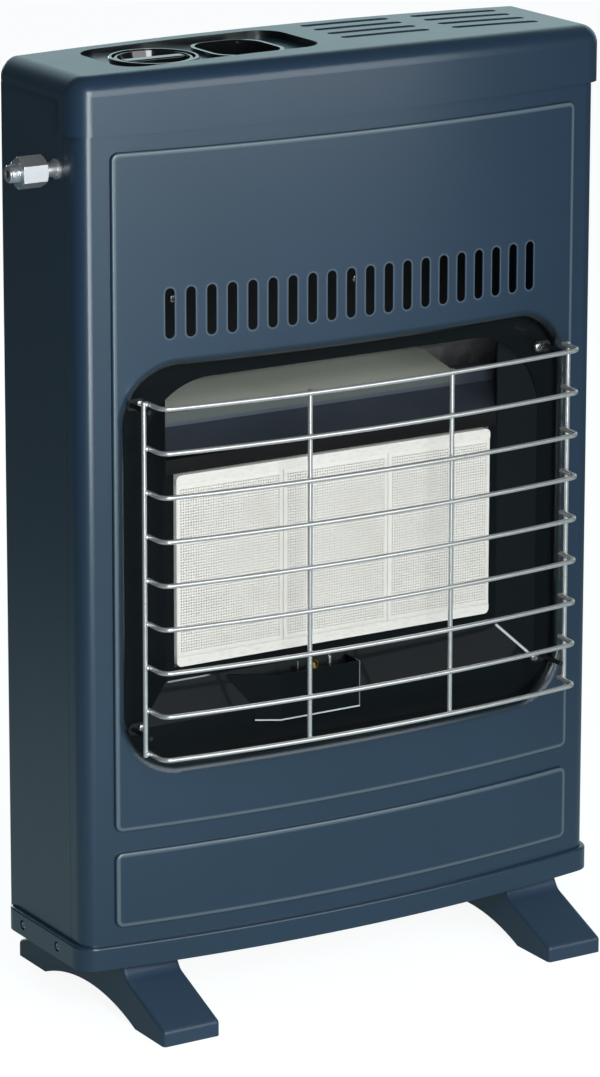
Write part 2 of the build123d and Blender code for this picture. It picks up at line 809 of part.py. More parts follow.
# Pressed housing behind the plaques, split into one chamber for each plaque
def make_housing():
    shell = block(-box_half, box_half, tray_back, housing_back, box_bottom, box_top)
    shell += block(-box_half - housing_flange, box_half + housing_flange, tray_back,
                   tray_back + housing_wall, box_bottom - housing_flange + 2, box_top + housing_flange)
    shell -= block(-mouth_half, mouth_half, tray_back - 1, plaque_back, mouth_bottom, mouth_top)
    inner = housing_back - housing_wall
    for i in range(plaque_count):
        x = (i - (plaque_count - 1) / 2) * burner_pitch
        half = plaque_width / 2 - housing_ledge
        shell -= block(x - half, x + half, plaque_back - 1, inner,
                       burner_bottom + seal_height, burner_top - seal_height)
        shell -= rod_z(x, control_y, box_bottom - 1, burner_bottom + seal_height + 1,
                       venturi_radius - venturi_wall)
    return shell


nodes["burner_housing"] = make_housing()

injector_top = manifold_bottom + manifold_size + injector_length
venturi_bottom = injector_top + primary_air_gap


# Mixing tube with a flared mouth over its injector
def make_venturi(x):
    flare = 12.0
    outer = rod_z(x, control_y, venturi_bottom + flare, box_bottom, venturi_radius)
    outer += Pos(x, control_y, venturi_bottom + flare / 2) * Cone(
        venturi_mouth_radius, venturi_radius, flare)
    inner = rod_z(x, control_y, venturi_bottom + flare - 1, box_bottom + 1,
                  venturi_radius - venturi_wall)
    inner += Pos(x, control_y, venturi_bottom + flare / 2) * Cone(
        venturi_mouth_radius - venturi_wall, venturi_radius - venturi_wall, flare)
    return outer - inner


injectors = []
for index, name in enumerate(plaque_names):
    x = (index - (plaque_count - 1) / 2) * burner_pitch
    nodes["venturi_" + name] = make_venturi(x)
    body = hex_z(x, control_y, manifold_bottom + manifold_size, injector_top - 3, injector_hex)
    tip = rod_z(x, control_y, injector_top - 3, injector_top, injector_hex / 2 - 1)
    injectors.append(body + tip - through_z(x, control_y, injector_bore))
nodes["gas_injectors"] = group(injectors)

manifold_half = burner_pitch + 18.0
manifold = block(-manifold_half, manifold_half, control_y - manifold_size / 2,
                 control_y + manifold_size / 2, manifold_bottom, manifold_bottom + manifold_size)
manifold = fillet(manifold.edges().filter_by(Axis.X), 2.0)
socket_depth = 10.0
manifold_mid = manifold_bottom + manifold_size / 2
manifold -= rod_x(control_y, manifold_mid, -manifold_half - 1, -manifold_half + socket_depth,
                  pipe_radius + running_gap)
manifold -= rod_x(control_y, manifold_mid, -manifold_half, manifold_half - 6, 3.0)
nodes["gas_manifold"] = manifold

# Straps that hang the manifold from the back of the burner housing
strap_width = 16.0
strap_top = burner_bottom + 37.0
straps = []
for side in (-1, 1):
    x = side * burner_pitch / 2
    straps.append(block(x - strap_width / 2, x + strap_width / 2, housing_back,
                        housing_back + bracket_sheet, manifold_bottom, strap_top))
nodes["manifold_straps"] = group(straps)


# ---------------------------------------------------------------- firebox tray and shields

# The tray is a back wall with bevelled sides and floor and a flat rim behind the window lip
def make_tray():
    reach = tray_half_width + tray_bevel
    floor_low = tray_bottom - tray_bevel
    far = tray_flange_half
    t = tray_sheet
    side_plan = polygon((tray_half_width - 1, tray_front), (tray_half_width, tray_front),
                        (reach, lip_plane), (far, lip_plane), (far, lip_plane + t),
                        (reach + 0.4, lip_plane + t), (tray_half_width + 0.4, tray_back),
                        (tray_half_width - 1, tray_back))
    side = prism_z(side_plan, tray_flange_bottom, tray_top)
    slope = (far - tray_half_width)
    above = polygon((tray_half_width - 1, tray_bottom + 1), (far + 1, tray_bottom - slope - 1),
                    (far + 1, tray_top + 1), (tray_half_width - 1, tray_top + 1))
    side &= prism_y(above, lip_plane - 1, tray_back + 1)
    floor_side = polygon((tray_front, tray_bottom + 1), (tray_back, tray_bottom + 1),
                         (tray_back, tray_bottom - 0.4), (lip_plane + t, floor_low - 0.4),
                         (lip_plane + t, tray_flange_bottom), (lip_plane, tray_flange_bottom),
                         (lip_plane, floor_low), (tray_front, tray_bottom))
    floor = prism_x(floor_side, -far, far)
    below = polygon((-tray_half_width + 1, tray_bottom + 1), (tray_half_width - 1, tray_bottom + 1),
                    (far + 1, tray_bottom - slope - 1), (far + 1, 0), (-far - 1, 0),
                    (-far - 1, tray_bottom - slope - 1))
    floor &= prism_y(below, lip_plane - 1, tray_back + 1)
    wall = block(-tray_half_width, tray_half_width, tray_front, tray_back, tray_bottom,
                 mouth_top)
    wall -= block(-mouth_half, mouth_half, tray_front - 1, tray_back + 1, mouth_bottom,
                  mouth_top + 1)
    rim_edge = window_top - tray_rim_drop
    rim_low = rim_edge - tray_rim_corner
    rim = Pos(0, (rim_low + tray_top) / 2) * Rectangle(2 * far, tray_top - rim_low)
    rim -= Pos(0, rim_edge - 1.5 * tray_rim_corner) * RectangleRounded(
        2 * reach, 3 * tray_rim_corner, tray_rim_corner)
    tray = wall + side + mirrored(side) + floor + prism_y(rim, lip_plane, lip_plane + t)
    tray -= rod_y(pilot_x, pilot_pipe_z, lip_plane - 1, tray_back + 1,
                  pilot_pipe_radius + seat_gap)
    for side_sign in (-1, 1):
        for z in lug_z:
            tray -= rod_y(side_sign * lug_screw_x, z, lip_plane - 1, tray_back + 1,
                          guard_screw_radius + screw_gap)
    return tray


nodes["firebox_tray"] = make_tray()

# Upper reflector: leans back from the top of the plaques, then steps up under the shelf
reflector_foot = mouth_top + seat_gap
reflector_knee = box_top + housing_flange + 1.2
reflector_low = reflector_knee + reflector_rise
reflector_top = reflector_low + reflector_step
shelf_slope = shelf_rise / (shield_y - reflector_back)
top_run = 12.0
foot_side = polygon((tray_front, reflector_foot), (tray_back, reflector_foot),
                    (tray_back, reflector_knee - 0.4), (tray_back + 1.2, reflector_knee),
                    (tray_back + 1.2, reflector_knee + 1), (tray_front, reflector_knee))
lean_side = polygon((tray_back + seat_gap, reflector_knee - 0.3),
                    (reflector_back, reflector_low - 1), (reflector_back + 1, reflector_low - 1),
                    (reflector_back + 1, reflector_top - 1),
                    (reflector_back + top_run, reflector_top - 1 + (top_run - 1) * shelf_slope),
                    (reflector_back + top_run, reflector_top + top_run * shelf_slope),
                    (reflector_back, reflector_top), (reflector_back, reflector_low),
                    (tray_back + seat_gap, reflector_knee + 0.7))
foot_half = tray_half_width - 1 - seat_gap
reflector = prism_x(foot_side, -foot_half, foot_half)
reflector += prism_x(lean_side, -reflector_half_width, reflector_half_width)
nodes["upper_reflector"] = reflector

# Shelf over the reflector, with a lip in front and a flat seat on the shield behind
shelf_front = reflector_back - seat_gap
shelf_flat = reflector_top + (shield_y - reflector_back) * shelf_slope
shelf_side = polygon(
    (shelf_front - 1, reflector_top - shelf_lip), (shelf_front, reflector_top - shelf_lip),
    (shelf_front, reflector_top), (reflector_back, reflector_top),
    (shield_y, shelf_flat), (shelf_back, shelf_flat), (shelf_back, shelf_flat + 1),
    (shield_y - 0.2, shelf_flat + 1), (reflector_back, reflector_top + 1),
    (shelf_front - 1, reflector_top + 1))
nodes["heat_deflector_shelf"] = prism_x(shelf_side, -shelf_half_width, shelf_half_width)


# Sheet shield that stands off the back panel on its own two flanges
def make_shield(low, high, half):
    inner = back_y - panel_sheet
    shield = block(-half, half, shield_y, shield_y + 1, low, high)
    shield += block(-half, half, shield_y, inner, low, low + 1)
    shield += block(-half, half, shield_y, inner, high - 1, high)
    return shield


nodes["lower_heat_shield"] = make_shield(lower_shield_bottom, shelf_flat, shield_half_width)

upper_shield_bottom = shelf_flat + upper_shield_gap
shield_screw_places = ((134 - half_width, upper_shield_bottom + 47),
                       (half_width - 154, upper_shield_bottom + 44))
upper_shield = make_shield(upper_shield_bottom, upper_shield_top, half_width - upper_shield_margin)
shield_screws = []
for x, z in shield_screw_places:
    upper_shield -= rod_y(x, z, shield_y - 1, shield_y + 2, screw_radius + screw_gap)
    shield_screws.append(screw_y(x, z, shield_y, 6, screw_radius, screw_head_radius,
                                 screw_head_height))
nodes["upper_heat_shield"] = upper_shield
nodes["shield_screws"] = group(shield_screws)


# ---------------------------------------------------------------- pilot

hood_front = plaque_front - hood_depth


# Folded black hood in front of the floor of the tray, over the pilot pieces
def make_hood():
    t = hood_sheet
    wide = polygon((hood_left - hood_spread, tray_front), (hood_left, hood_front),
                   (hood_right, hood_front), (hood_right, tray_front))
    inner = polygon((hood_left - hood_spread + 2 * t, tray_front + 1),
                    (hood_left + t / 2, hood_front + t), (hood_right - t, hood_front + t),
                    (hood_right - t, tray_front + 1))
    return prism_z(wide, hood_bottom, hood_top) - prism_z(inner, hood_bottom - 1, hood_top + 1)


# Everything that lies behind the front faces of the tray, to trim what seats on them
def tray_shadow(gap):
    reach = tray_half_width + tray_bevel
    floor_low = tray_bottom - tray_bevel
    side = polygon((tray_front - gap, burner_top), (tray_front - gap, tray_bottom),
                   (lip_plane - gap, floor_low), (lip_plane - gap, 0), (back_y, 0), (back_y, burner_top))
    return prism_x(side, -reach, reach)


hood = make_hood() - tray_shadow(seat_gap)
nodes["pilot_hood"] = hood.solids().sort_by(SortBy.VOLUME)[-1]

# Plate inside the hood that carries the pilot burner, the probe and the spark electrode
plate_front = hood_front + hood_sheet
plate_back = lip_plane - seat_gap
plate_y = (plate_front + plate_back) / 2
plate_reach = 26.0
pilot_plate = block(pilot_x - plate_reach, hood_right - hood_sheet, plate_front, plate_back,
                    pilot_plate_z, pilot_plate_z + bracket_sheet)
probe_x = pilot_x + probe_pitch
electrode_x = pilot_x - probe_pitch
for x, radius in ((pilot_x, pilot_radius), (probe_x, probe_radius), (electrode_x, ceramic_radius)):
    pilot_plate -= through_z(x, plate_y, radius + running_gap)
nodes["pilot_plate"] = pilot_plate

pilot_top = pilot_plate_z + 24.0
pilot = rod_z(pilot_x, plate_y, pilot_plate_z - 6, pilot_top - 6, pilot_radius)
pilot += rod_z(pilot_x, plate_y, pilot_top - 6, pilot_top, pilot_radius + 0.8)
pilot += rod_z(pilot_x, plate_y, pilot_plate_z + bracket_sheet, pilot_plate_z + bracket_sheet + 2,
               pilot_radius + 1)
pilot -= block(pilot_x - 1, pilot_x + 1, plate_y - 8, plate_y + 8, pilot_top - 3, pilot_top + 1)
pilot -= rod_z(pilot_x, plate_y, pilot_plate_z - 7, pilot_plate_z, pilot_pipe_radius + running_gap)
nodes["pilot_burner"] = pilot

probe = rod_z(probe_x, plate_y, pilot_plate_z - 5, pilot_top + 3, probe_radius)
probe = fillet(probe.edges().sort_by(Axis.Z)[-1], probe_radius * 0.8)
probe += rod_z(probe_x, plate_y, pilot_plate_z + bracket_sheet, pilot_plate_z + bracket_sheet + 4,
               probe_radius + 1.4)
nodes["thermocouple_probe"] = probe

electrode = rod_z(electrode_x, plate_y, pilot_plate_z - 6, pilot_plate_z + 14, ceramic_radius)
electrode += rod_z(electrode_x, plate_y, pilot_plate_z + bracket_sheet,
                   pilot_plate_z + bracket_sheet + 2.5, ceramic_radius + 1.2)
electrode -= through_z(electrode_x, plate_y, electrode_wire)
nodes["electrode_ceramic"] = electrode
nodes["electrode_rod"] = rod_z(electrode_x, plate_y, pilot_plate_z - 9, pilot_top + 2,
                               electrode_wire - running_gap / 2)

# Supply pipe from the tap down the left of the cabinet to the pilot burner
pilot_port_x = knob_x - 8.0
pilot_port_z = tap_bottom + 8.0
port_face = control_y - tap_half_depth
pipe_end = port_face + 4.0
points = [(pilot_port_x, pipe_end, pilot_port_z), (pilot_port_x, port_face - 14, pilot_port_z),
          (pilot_port_x, port_face - 14, pilot_port_z - 50),
          (pilot_pipe_x, port_face - 10, pilot_port_z - 72),
          (pilot_pipe_x, port_face - 10, pilot_pipe_low),
          (pilot_x, port_face - 10, pilot_pipe_low), (pilot_x, port_face - 10, pilot_pipe_z),
          (pilot_x, plate_y, pilot_pipe_z), (pilot_x, plate_y, pilot_plate_z - 0.5)]
nodes["pilot_pipe"] = pipe_run(points, pilot_pipe_bend, pilot_pipe_radius)


# ---------------------------------------------------------------- tap, pipes and igniter

bonnet_top = tap_bottom + tap_height + bonnet_height
hub_bottom = knob_dish_floor - hub_height
washer_top = hub_bottom - seat_gap
washer_bottom = washer_top - washer_thickness
spindle_top = knob_dish_floor - 3.0
spindle_bottom = tap_bottom + 14.0
bracket_top = tap_bottom
bracket_right = igniter_x + 30.0
outlet_radius = 6.0
outlet_length = 6.0

bracket_front = seam_y + 5.0
bracket = block(-half_width + panel_sheet, bracket_right, bracket_front, back_y - panel_sheet,
                bracket_top - bracket_sheet, bracket_top)
bracket += block(-half_width + 2 * return_flange, bracket_right, back_y - panel_sheet - bracket_sheet,
                 back_y - panel_sheet, bracket_top - bracket_sheet - bracket_flange, bracket_top)
bracket -= through_z(knob_x, control_y, outlet_radius + seat_gap)
bracket -= block(-half_width, -half_width + return_flange + seat_gap, back_y - 2 * panel_sheet - seat_gap,
                 back_y, panel_bottom, panel_top)
nodes["valve_bracket"] = bracket

tap = block(knob_x - tap_left, knob_x + tap_left, control_y - tap_half_depth,
            control_y + tap_half_depth - 6, tap_bottom, tap_bottom + tap_height)
tap = fillet(tap.edges(), 2.0)
port_length = 12.0
tap += rod_x(inlet_y, inlet_z, knob_x - tap_left - port_length, knob_x - tap_left + 1, 8.0)
tap += rod_z(knob_x, control_y, tap_bottom - outlet_length, tap_bottom + 1, outlet_radius)
tap -= rod_z(knob_x, control_y, spindle_bottom - knob_travel - 1, lid_top, spindle_radius + seat_gap)
tap -= rod_x(inlet_y, inlet_z, knob_x - tap_left - port_length - 1, knob_x - tap_left,
             pipe_radius + running_gap)
tap -= rod_z(knob_x, control_y, tap_bottom - outlet_length - 1, tap_bottom + 6,
             pipe_radius + running_gap)
tap -= rod_y(pilot_port_x, pilot_port_z, port_face - 1, pipe_end + 0.5,
             pilot_pipe_radius + running_gap)
nodes["gas_tap"] = tap

bonnet = rod_z(knob_x, control_y, tap_bottom + tap_height, bonnet_top, bonnet_radius)
bonnet = fillet(bonnet.edges().sort_by(Axis.Z)[-1], 1.5)
bonnet -= through_z(knob_x, control_y, spindle_radius + running_gap)
nodes["tap_bonnet"] = bonnet

spindle = rod_z(knob_x, control_y, spindle_bottom, spindle_top, spindle_radius)
nodes["tap_spindle"] = spindle

washer = rod_z(knob_x, control_y, washer_bottom, washer_top, washer_radius)
washer -= through_z(knob_x, control_y, spindle_radius + running_gap)
nodes["spring_washer"] = washer


# Coil spring standing on the plane z = low
def coil(x, y, low, high, radius, wire, turns):
    rise = high - low - 2 * wire
    path = Helix(rise / turns, rise, radius)
    section = Plane(path @ 0, z_dir=path % 0) * Circle(wire)
    return Pos(x, y, low + wire) * sweep(section, path=path, is_frenet=True)


nodes["knob_spring"] = coil(knob_x, control_y, bonnet_top + seat_gap, washer_bottom - seat_gap,
                            spring_radius, spring_wire, spring_turns)


def make_knob():
    knob = rod_z(knob_x, control_y, knob_bottom, knob_top, knob_radius)
    knob = fillet(knob.edges().sort_by(Axis.Z)[-1], 1.6)
    knob -= Pos(knob_x, control_y, (knob_dish_floor + knob_top + 0.5) / 2) * Cone(
        knob_dish_radius, knob_dish_radius + 2.5, knob_top + 0.5 - knob_dish_floor)
    knob -= rod_z(knob_x, control_y, knob_bottom - 1, knob_dish_floor - knob_wall,
                  knob_radius - knob_wall)
    grip = block(knob_x - grip_length / 2, knob_x + grip_length / 2, control_y - grip_width / 2,
                 control_y + grip_width / 2, knob_dish_floor - 1, knob_top - 0.2)
    grip = fillet(grip.edges().filter_by(Axis.Z), 2.5)
    grip = fillet(grip.faces().sort_by(Axis.Z)[-1].edges(), 1.2)
    knob += grip
    knob += rod_z(knob_x, control_y, hub_bottom, knob_dish_floor - 1, hub_radius)
    knob -= rod_z(knob_x, control_y, hub_bottom - 1, spindle_top + 0.2, spindle_radius + running_gap)
    return knob


nodes["control_knob"] = make_knob()

# Igniter: body with a flange on the floor of the cup, nut below, button in its bore
igniter_flange_top = well_floor + igniter_flange
igniter_body = rod_z(igniter_x, control_y, igniter_flange_top - igniter_length, igniter_flange_top,
                     igniter_radius)
igniter_body += rod_z(igniter_x, control_y, well_floor, igniter_flange_top, igniter_flange_radius)
igniter_body += rod_z(igniter_x, control_y, igniter_flange_top - igniter_length - 9,
                      igniter_flange_top - igniter_length + 1, 2.5)
igniter_body -= rod_z(igniter_x, control_y, igniter_flange_top - igniter_bore_depth,
                      igniter_flange_top + 1, button_radius + button_gap)
nodes["igniter_body"] = igniter_body

igniter_nut_hex = 2 * igniter_flange_radius
igniter_nut = hex_z(igniter_x, control_y, well_floor - well_wall - nut_length,
                    well_floor - well_wall, igniter_nut_hex)
igniter_nut -= through_z(igniter_x, control_y, igniter_radius + seat_gap)
nodes["igniter_nut"] = igniter_nut

button_top = igniter_flange_top + button_rise
button_bottom = igniter_flange_top - button_depth
button = rod_z(igniter_x, control_y, button_bottom, button_top, button_radius)
button = fillet(button.edges().sort_by(Axis.Z)[-1], 1.5)
nodes["igniter_button"] = button

nodes["igniter_spring"] = coil(igniter_x, control_y, igniter_flange_top - igniter_bore_depth + seat_gap,
                               button_bottom - seat_gap, 5.0, spring_wire, spring_turns)

# Inlet fitting through the left side panel
outside = -half_width
hex_start = outside - collar_length
stub_start = hex_start - inlet_hex_length
inlet_end = stub_start - stub_length
fitting = rod_x(inlet_y, inlet_z, inlet_end, stub_start, stub_radius)
fitting += hex_x(inlet_y, inlet_z, stub_start, hex_start, inlet_hex)
fitting += rod_x(inlet_y, inlet_z, hex_start, outside + fitting_tail, collar_radius)
fitting += rod_x(inlet_y, inlet_z, outside - shoulder_thickness, outside, shoulder_radius)
fitting -= rod_x(inlet_y, inlet_z, inlet_end - 1, outside + fitting_tail + 1, fitting_bore)
fitting -= rod_x(inlet_y, inlet_z, outside + fitting_tail - 8, outside + fitting_tail + 1,
                 pipe_radius + running_gap)
nodes["inlet_fitting"] = fitting

locknut = hex_x(inlet_y, inlet_z, outside + panel_sheet, outside + panel_sheet + nut_length, nut_hex)
locknut -= rod_x(inlet_y, inlet_z, outside, outside + 12, collar_radius + running_gap)
nodes["inlet_locknut"] = locknut

inlet_pipe_start = outside + fitting_tail - 7.5
inlet_pipe_end = knob_x - tap_left - 1.0
inlet_pipe = rod_x(inlet_y, inlet_z, inlet_pipe_start, inlet_pipe_end, pipe_radius)
inlet_pipe -= rod_x(inlet_y, inlet_z, inlet_pipe_start - 1, inlet_pipe_end + 1, pipe_radius - 1)
nodes["inlet_pipe"] = inlet_pipe

feed_start = tap_bottom + 5.5
feed_points = [(knob_x, control_y, feed_start), (knob_x, control_y, feed_start - 45),
               (feed_pipe_x, control_y, feed_start - 75), (feed_pipe_x, control_y, manifold_mid),
               (-manifold_half + socket_depth - 0.5, control_y, manifold_mid)]
nodes["feed_pipe"] = pipe_run(feed_points, pipe_bend, pipe_radius)

pipe_nuts = []
nut_at = knob_x - tap_left - port_length
nut = hex_x(inlet_y, inlet_z, nut_at - nut_length, nut_at, nut_hex)
pipe_nuts.append(nut - rod_x(inlet_y, inlet_z, nut_at - 20, nut_at + 5, pipe_radius + running_gap))
nut_at = tap_bottom - outlet_length
nut = hex_z(knob_x, control_y, nut_at - nut_length, nut_at, nut_hex)
pipe_nuts.append(nut - rod_z(knob_x, control_y, nut_at - 20, nut_at + 5, pipe_radius + running_gap))
nut = hex_x(control_y, manifold_mid, -manifold_half - nut_length, -manifold_half, 14.0)
pipe_nuts.append(nut - rod_x(control_y, manifold_mid, -manifold_half - 20, -manifold_half + 5,
                             pipe_radius + running_gap))
nodes["pipe_nuts"] = group(pipe_nuts)


# ---------------------------------------------------------------- guard

wire_leg_x = lug_x
wire_leg_end = guard_side_y + wire_radius


# One bowed wire with its two ends turned back
def make_wire(z):
    corner_y = bow_y(wire_leg_x, guard_stand_off)
    left = Line((-wire_leg_x, wire_leg_end, z), (-wire_leg_x, corner_y, z))
    bow = ThreePointArc((-wire_leg_x, corner_y, z), (0, wire_front, z), (wire_leg_x, corner_y, z))
    right = Line((wire_leg_x, corner_y, z), (wire_leg_x, wire_leg_end, z))
    path = Wire([left.edge(), bow.edge(), right.edge()])
    corners = [v for v in path.vertices() if v.Y < corner_y + 1]
    path = path.fillet_2d(guard_bend, corners)
    section = Plane(path @ 0, z_dir=path % 0) * Circle(wire_radius)
    return sweep(section, path=path)


first_wire = make_wire(guard_bottom)
nodes["guard_wires"] = group([Pos(0, 0, i * wire_pitch) * first_wire for i in range(wire_count)])

upright_y = bow_y(upright_x, guard_stand_off) + 2 * wire_radius + weld_gap
uprights = []
for side in (-1, 1):
    uprights.append(rod_z(side * upright_x, upright_y, guard_bottom - wire_radius,
                          guard_top + wire_radius, wire_radius))
nodes["guard_uprights"] = group(uprights)

tab_front = lip_plane - tab_sheet
side_bars = []
lugs = []
guard_screws = []
for side in (-1, 1):
    side_bars.append(rod_z(side * guard_side_x, guard_side_y, guard_bottom - wire_radius,
                           guard_top + wire_radius, wire_radius))
    for z in lug_z:
        leg = rod_y(side * lug_x, z, guard_side_y - wire_radius, tab_front + 0.5, wire_radius)
        outline = SlotCenterToCenter(tab_inset, 2 * tab_radius)
        tab = prism_y(Pos(side * (lug_x - tab_inset / 2), z) * outline, tab_front, lip_plane)
        tab -= rod_y(side * lug_screw_x, z, tab_front - 1, lip_plane + 1,
                     guard_screw_radius + screw_gap)
        lugs.append(leg + tab)
        guard_screws.append(screw_y(side * lug_screw_x, z, tab_front, 6, guard_screw_radius,
                                    guard_screw_head, screw_head_height))
nodes["guard_side_bars"] = group(side_bars)
nodes["guard_lugs"] = group(lugs)
nodes["guard_screws"] = group(guard_screws)


# ---------------------------------------------------------------- write the nodes

shift_x = -(inlet_end + lid_half_width) / 2

os.makedirs("parts", exist_ok=True)
for name, shape in nodes.items():
    export_step(Pos(shift_x, 0, 0) * shape, "parts/" + name + ".step")
print(len(nodes), "nodes, moved", shift_x, "mm along X")
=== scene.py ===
import json
import math
import bmesh
import bpy
import numpy as np
from mathutils import Matrix, Vector


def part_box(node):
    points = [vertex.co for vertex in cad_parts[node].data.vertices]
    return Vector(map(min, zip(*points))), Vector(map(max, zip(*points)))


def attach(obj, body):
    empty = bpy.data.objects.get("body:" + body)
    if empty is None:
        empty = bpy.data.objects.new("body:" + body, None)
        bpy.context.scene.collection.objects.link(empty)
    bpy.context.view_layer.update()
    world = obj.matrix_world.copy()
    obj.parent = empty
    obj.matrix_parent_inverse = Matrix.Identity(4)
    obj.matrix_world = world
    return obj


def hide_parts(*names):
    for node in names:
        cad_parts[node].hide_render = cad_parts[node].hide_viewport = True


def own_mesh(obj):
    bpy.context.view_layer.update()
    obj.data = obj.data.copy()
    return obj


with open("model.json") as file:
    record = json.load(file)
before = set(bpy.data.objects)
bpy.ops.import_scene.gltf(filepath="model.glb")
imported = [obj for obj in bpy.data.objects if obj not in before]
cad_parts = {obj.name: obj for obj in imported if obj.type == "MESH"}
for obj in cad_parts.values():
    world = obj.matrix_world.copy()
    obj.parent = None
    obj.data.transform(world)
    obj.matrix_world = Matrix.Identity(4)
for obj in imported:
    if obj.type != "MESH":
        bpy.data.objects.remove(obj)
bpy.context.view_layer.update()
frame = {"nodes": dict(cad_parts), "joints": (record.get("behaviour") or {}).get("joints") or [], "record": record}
nodes = frame["nodes"]
slotOf = {part["node"]: part["material_slot"] for part in frame["record"]["subparts"]}
frontLow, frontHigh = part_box("front_panel")
midX = (frontLow[0] + frontHigh[0]) / 2         # the cabinet's middle; the gas inlet shifts it off zero
print("frame loaded:", len(nodes), "nodes")


# shader maths: a Value is one socket, and sums on it add Math nodes

class Value:
    def __init__(self, net, socket):
        self.net = net
        self.socket = socket

    def maths(self, operation, first, second=None):
        return self.net.add("Math", {"operation": operation}, {0: first, 1: second})

    def __add__(self, other):
        return self.maths("ADD", self, other)

    def __sub__(self, other):
        return self.maths("SUBTRACT", self, other)

    def __rsub__(self, other):
        return self.maths("SUBTRACT", other, self)

    def __mul__(self, other):
        return self.maths("MULTIPLY", self, other)

    def __pow__(self, other):
        return self.maths("POWER", self, other)

    def most(self, other):
        return self.maths("MAXIMUM", self, other)

    def least(self, other):
        return self.maths("MINIMUM", self, other)

    def size(self):
        return self.maths("ABSOLUTE", self)

    def fraction(self):
        return self.maths("FRACT", self)

    __radd__ = __add__
    __rmul__ = __mul__


class Net:                                      # the nodes of one material, or of the world
    def __init__(self, name, owner=None, place="Object"):
        self.owner = owner or bpy.data.materials.new(name)
        self.owner.use_nodes = True
        self.tree = self.owner.node_tree
        self.tree.nodes.clear()
        self.place = self.add("TexCoord", output=place)

    def add(self, kind, settings=None, sockets=None, output=0):
        # one node: its settings first, then a number, colour or link for each socket; several outputs in
        # brackets give a list of Values
        node = self.tree.nodes.new("ShaderNode" + kind)
        for key, setting in (settings or {}).items():
            setattr(node, key, setting)
        for key, given in (sockets or {}).items():
            if isinstance(given, Value):
                self.tree.links.new(given.socket, node.inputs[key])
            elif given is not None:
                node.inputs[key].default_value = given
        if isinstance(output, tuple):
            return [Value(self, node.outputs[one]) for one in output]
        return Value(self, node.outputs[output])

    def noise(self, scale, detail=3.0, stretch=(1, 1, 1), roughness=0.5):
        where = self.add("Mapping", None, {"Vector": self.place, "Scale": stretch}, "Vector")
        return self.add("TexNoise", None, {"Vector": where, "Scale": scale, "Detail": detail,
                                           "Roughness": roughness}, "Fac")

    def cells(self, scale, feature="F1", output="Distance"):
        return self.add("TexVoronoi", {"feature": feature}, {"Vector": self.place, "Scale": scale}, output)

    def step(self, value, low, high):           # 0 below low, 1 above high, smooth between
        return self.add("MapRange", {"interpolation_type": "SMOOTHSTEP"},
                        {"Value": value, "From Min": low, "From Max": high}, "Result")

    def fall(self, value, low, high):           # 1 below low, 0 above high, smooth between
        return 1 - self.step(value, low, high)

    def band(self, value, up, down):            # rises over the pair up, falls again over the pair down
        return self.step(value, *up) * self.fall(value, *down)

    def blend(self, share, first, second):      # the first colour where the share is 0, the second where 1
        return self.add("Mix", {"data_type": "RGBA"}, {0: share, 6: first, 7: second}, 2)

    def bump(self, height, depth, strength):
        return self.add("Bump", None, {"Height": height, "Distance": depth, "Strength": strength}, "Normal")

    def split(self):                            # the three coordinates of the place
        return self.add("SeparateXYZ", None, {0: self.place}, ("X", "Y", "Z"))

    def rays(self):                             # 1 for what the camera sees, 1 for what a surface mirrors
        camera, glossy, through = self.add(
            "LightPath", None, None, ("Is Camera Ray", "Is Glossy Ray", "Is Transmission Ray"))
        return camera, (glossy + through).least(1)

    def finish(self, **sockets):                # principled shader from named sockets, Base_Color=...
        given = {key.replace("_", " "): value for key, value in sockets.items()}
        shader = self.add("BsdfPrincipled", None, given, "BSDF")
        self.add("OutputMaterial", None, {"Surface": shader}, ())
        return self.owner


def srgb(red, green, blue):                     # 0-255 display values to linear light
    parts = [c / 255 for c in (red, green, blue)]
    return tuple(c / 12.92 if c < 0.04045 else ((c + 0.055) / 1.055) ** 2.4 for c in parts) + (1,)


def shade(colour, share, lift=0.0):             # a darker or lighter colour
    return tuple(min(1, c * share + lift) for c in colour[:3]) + (1,)


# masks for painted shade and painted highlights: 1 where the other colour shows, 0 elsewhere

def outside(u, v, halfU, halfV, corner):
    # distance from a rounded rectangle about the origin: negative within, positive outside
    across, up = (u.size() - (halfU - corner)).most(0), (v.size() - (halfV - corner)).most(0)
    return (across ** 2 + up ** 2) ** 0.5 - corner


lip = {"middle": 0.348, "half": (0.190, 0.151), "corner": 0.042, "fade": (0.0008, 0.0095)}


def windowLipShade(net):
    # painted shade: the pressing turns black over the last 9 mm before the window, where it rolls in
    x, y, z = net.split()
    apart = outside(x - midX, z - lip["middle"], *lip["half"], lip["corner"])
    return net.fall(apart, *lip["fade"])


pocket = {"middle": (-0.075, 0.0055), "half": (0.085, 0.0415), "corner": 0.020, "edge": (0.0001, 0.0005),
          "floor": (0.71405, 0.7144)}


def pocketWallShade(net):
    # painted shade: the wall of the control pocket is black from its floor up
    x, y, z = net.split()
    ring = outside(x - pocket["middle"][0], y - pocket["middle"][1], *pocket["half"], pocket["corner"])
    return net.fall(ring, *pocket["edge"]) * net.step(z, *pocket["floor"])


pressed = {"half": 0.201, "corner": 0.006, "fields": ((0.40525, 0.25575), (0.10425, 0.02925)),
           "edge": ((-0.0042, -0.0022), (-0.0010, -0.0002)), "slot": (0.53975, 0.00375, 0.01875),
           "rim": ((0.00003, 0.0002), (0.0006, 0.0018)), "pitch": 0.0165, "pairs": 10, "rubAndGlint": (0.6, 0.4)}


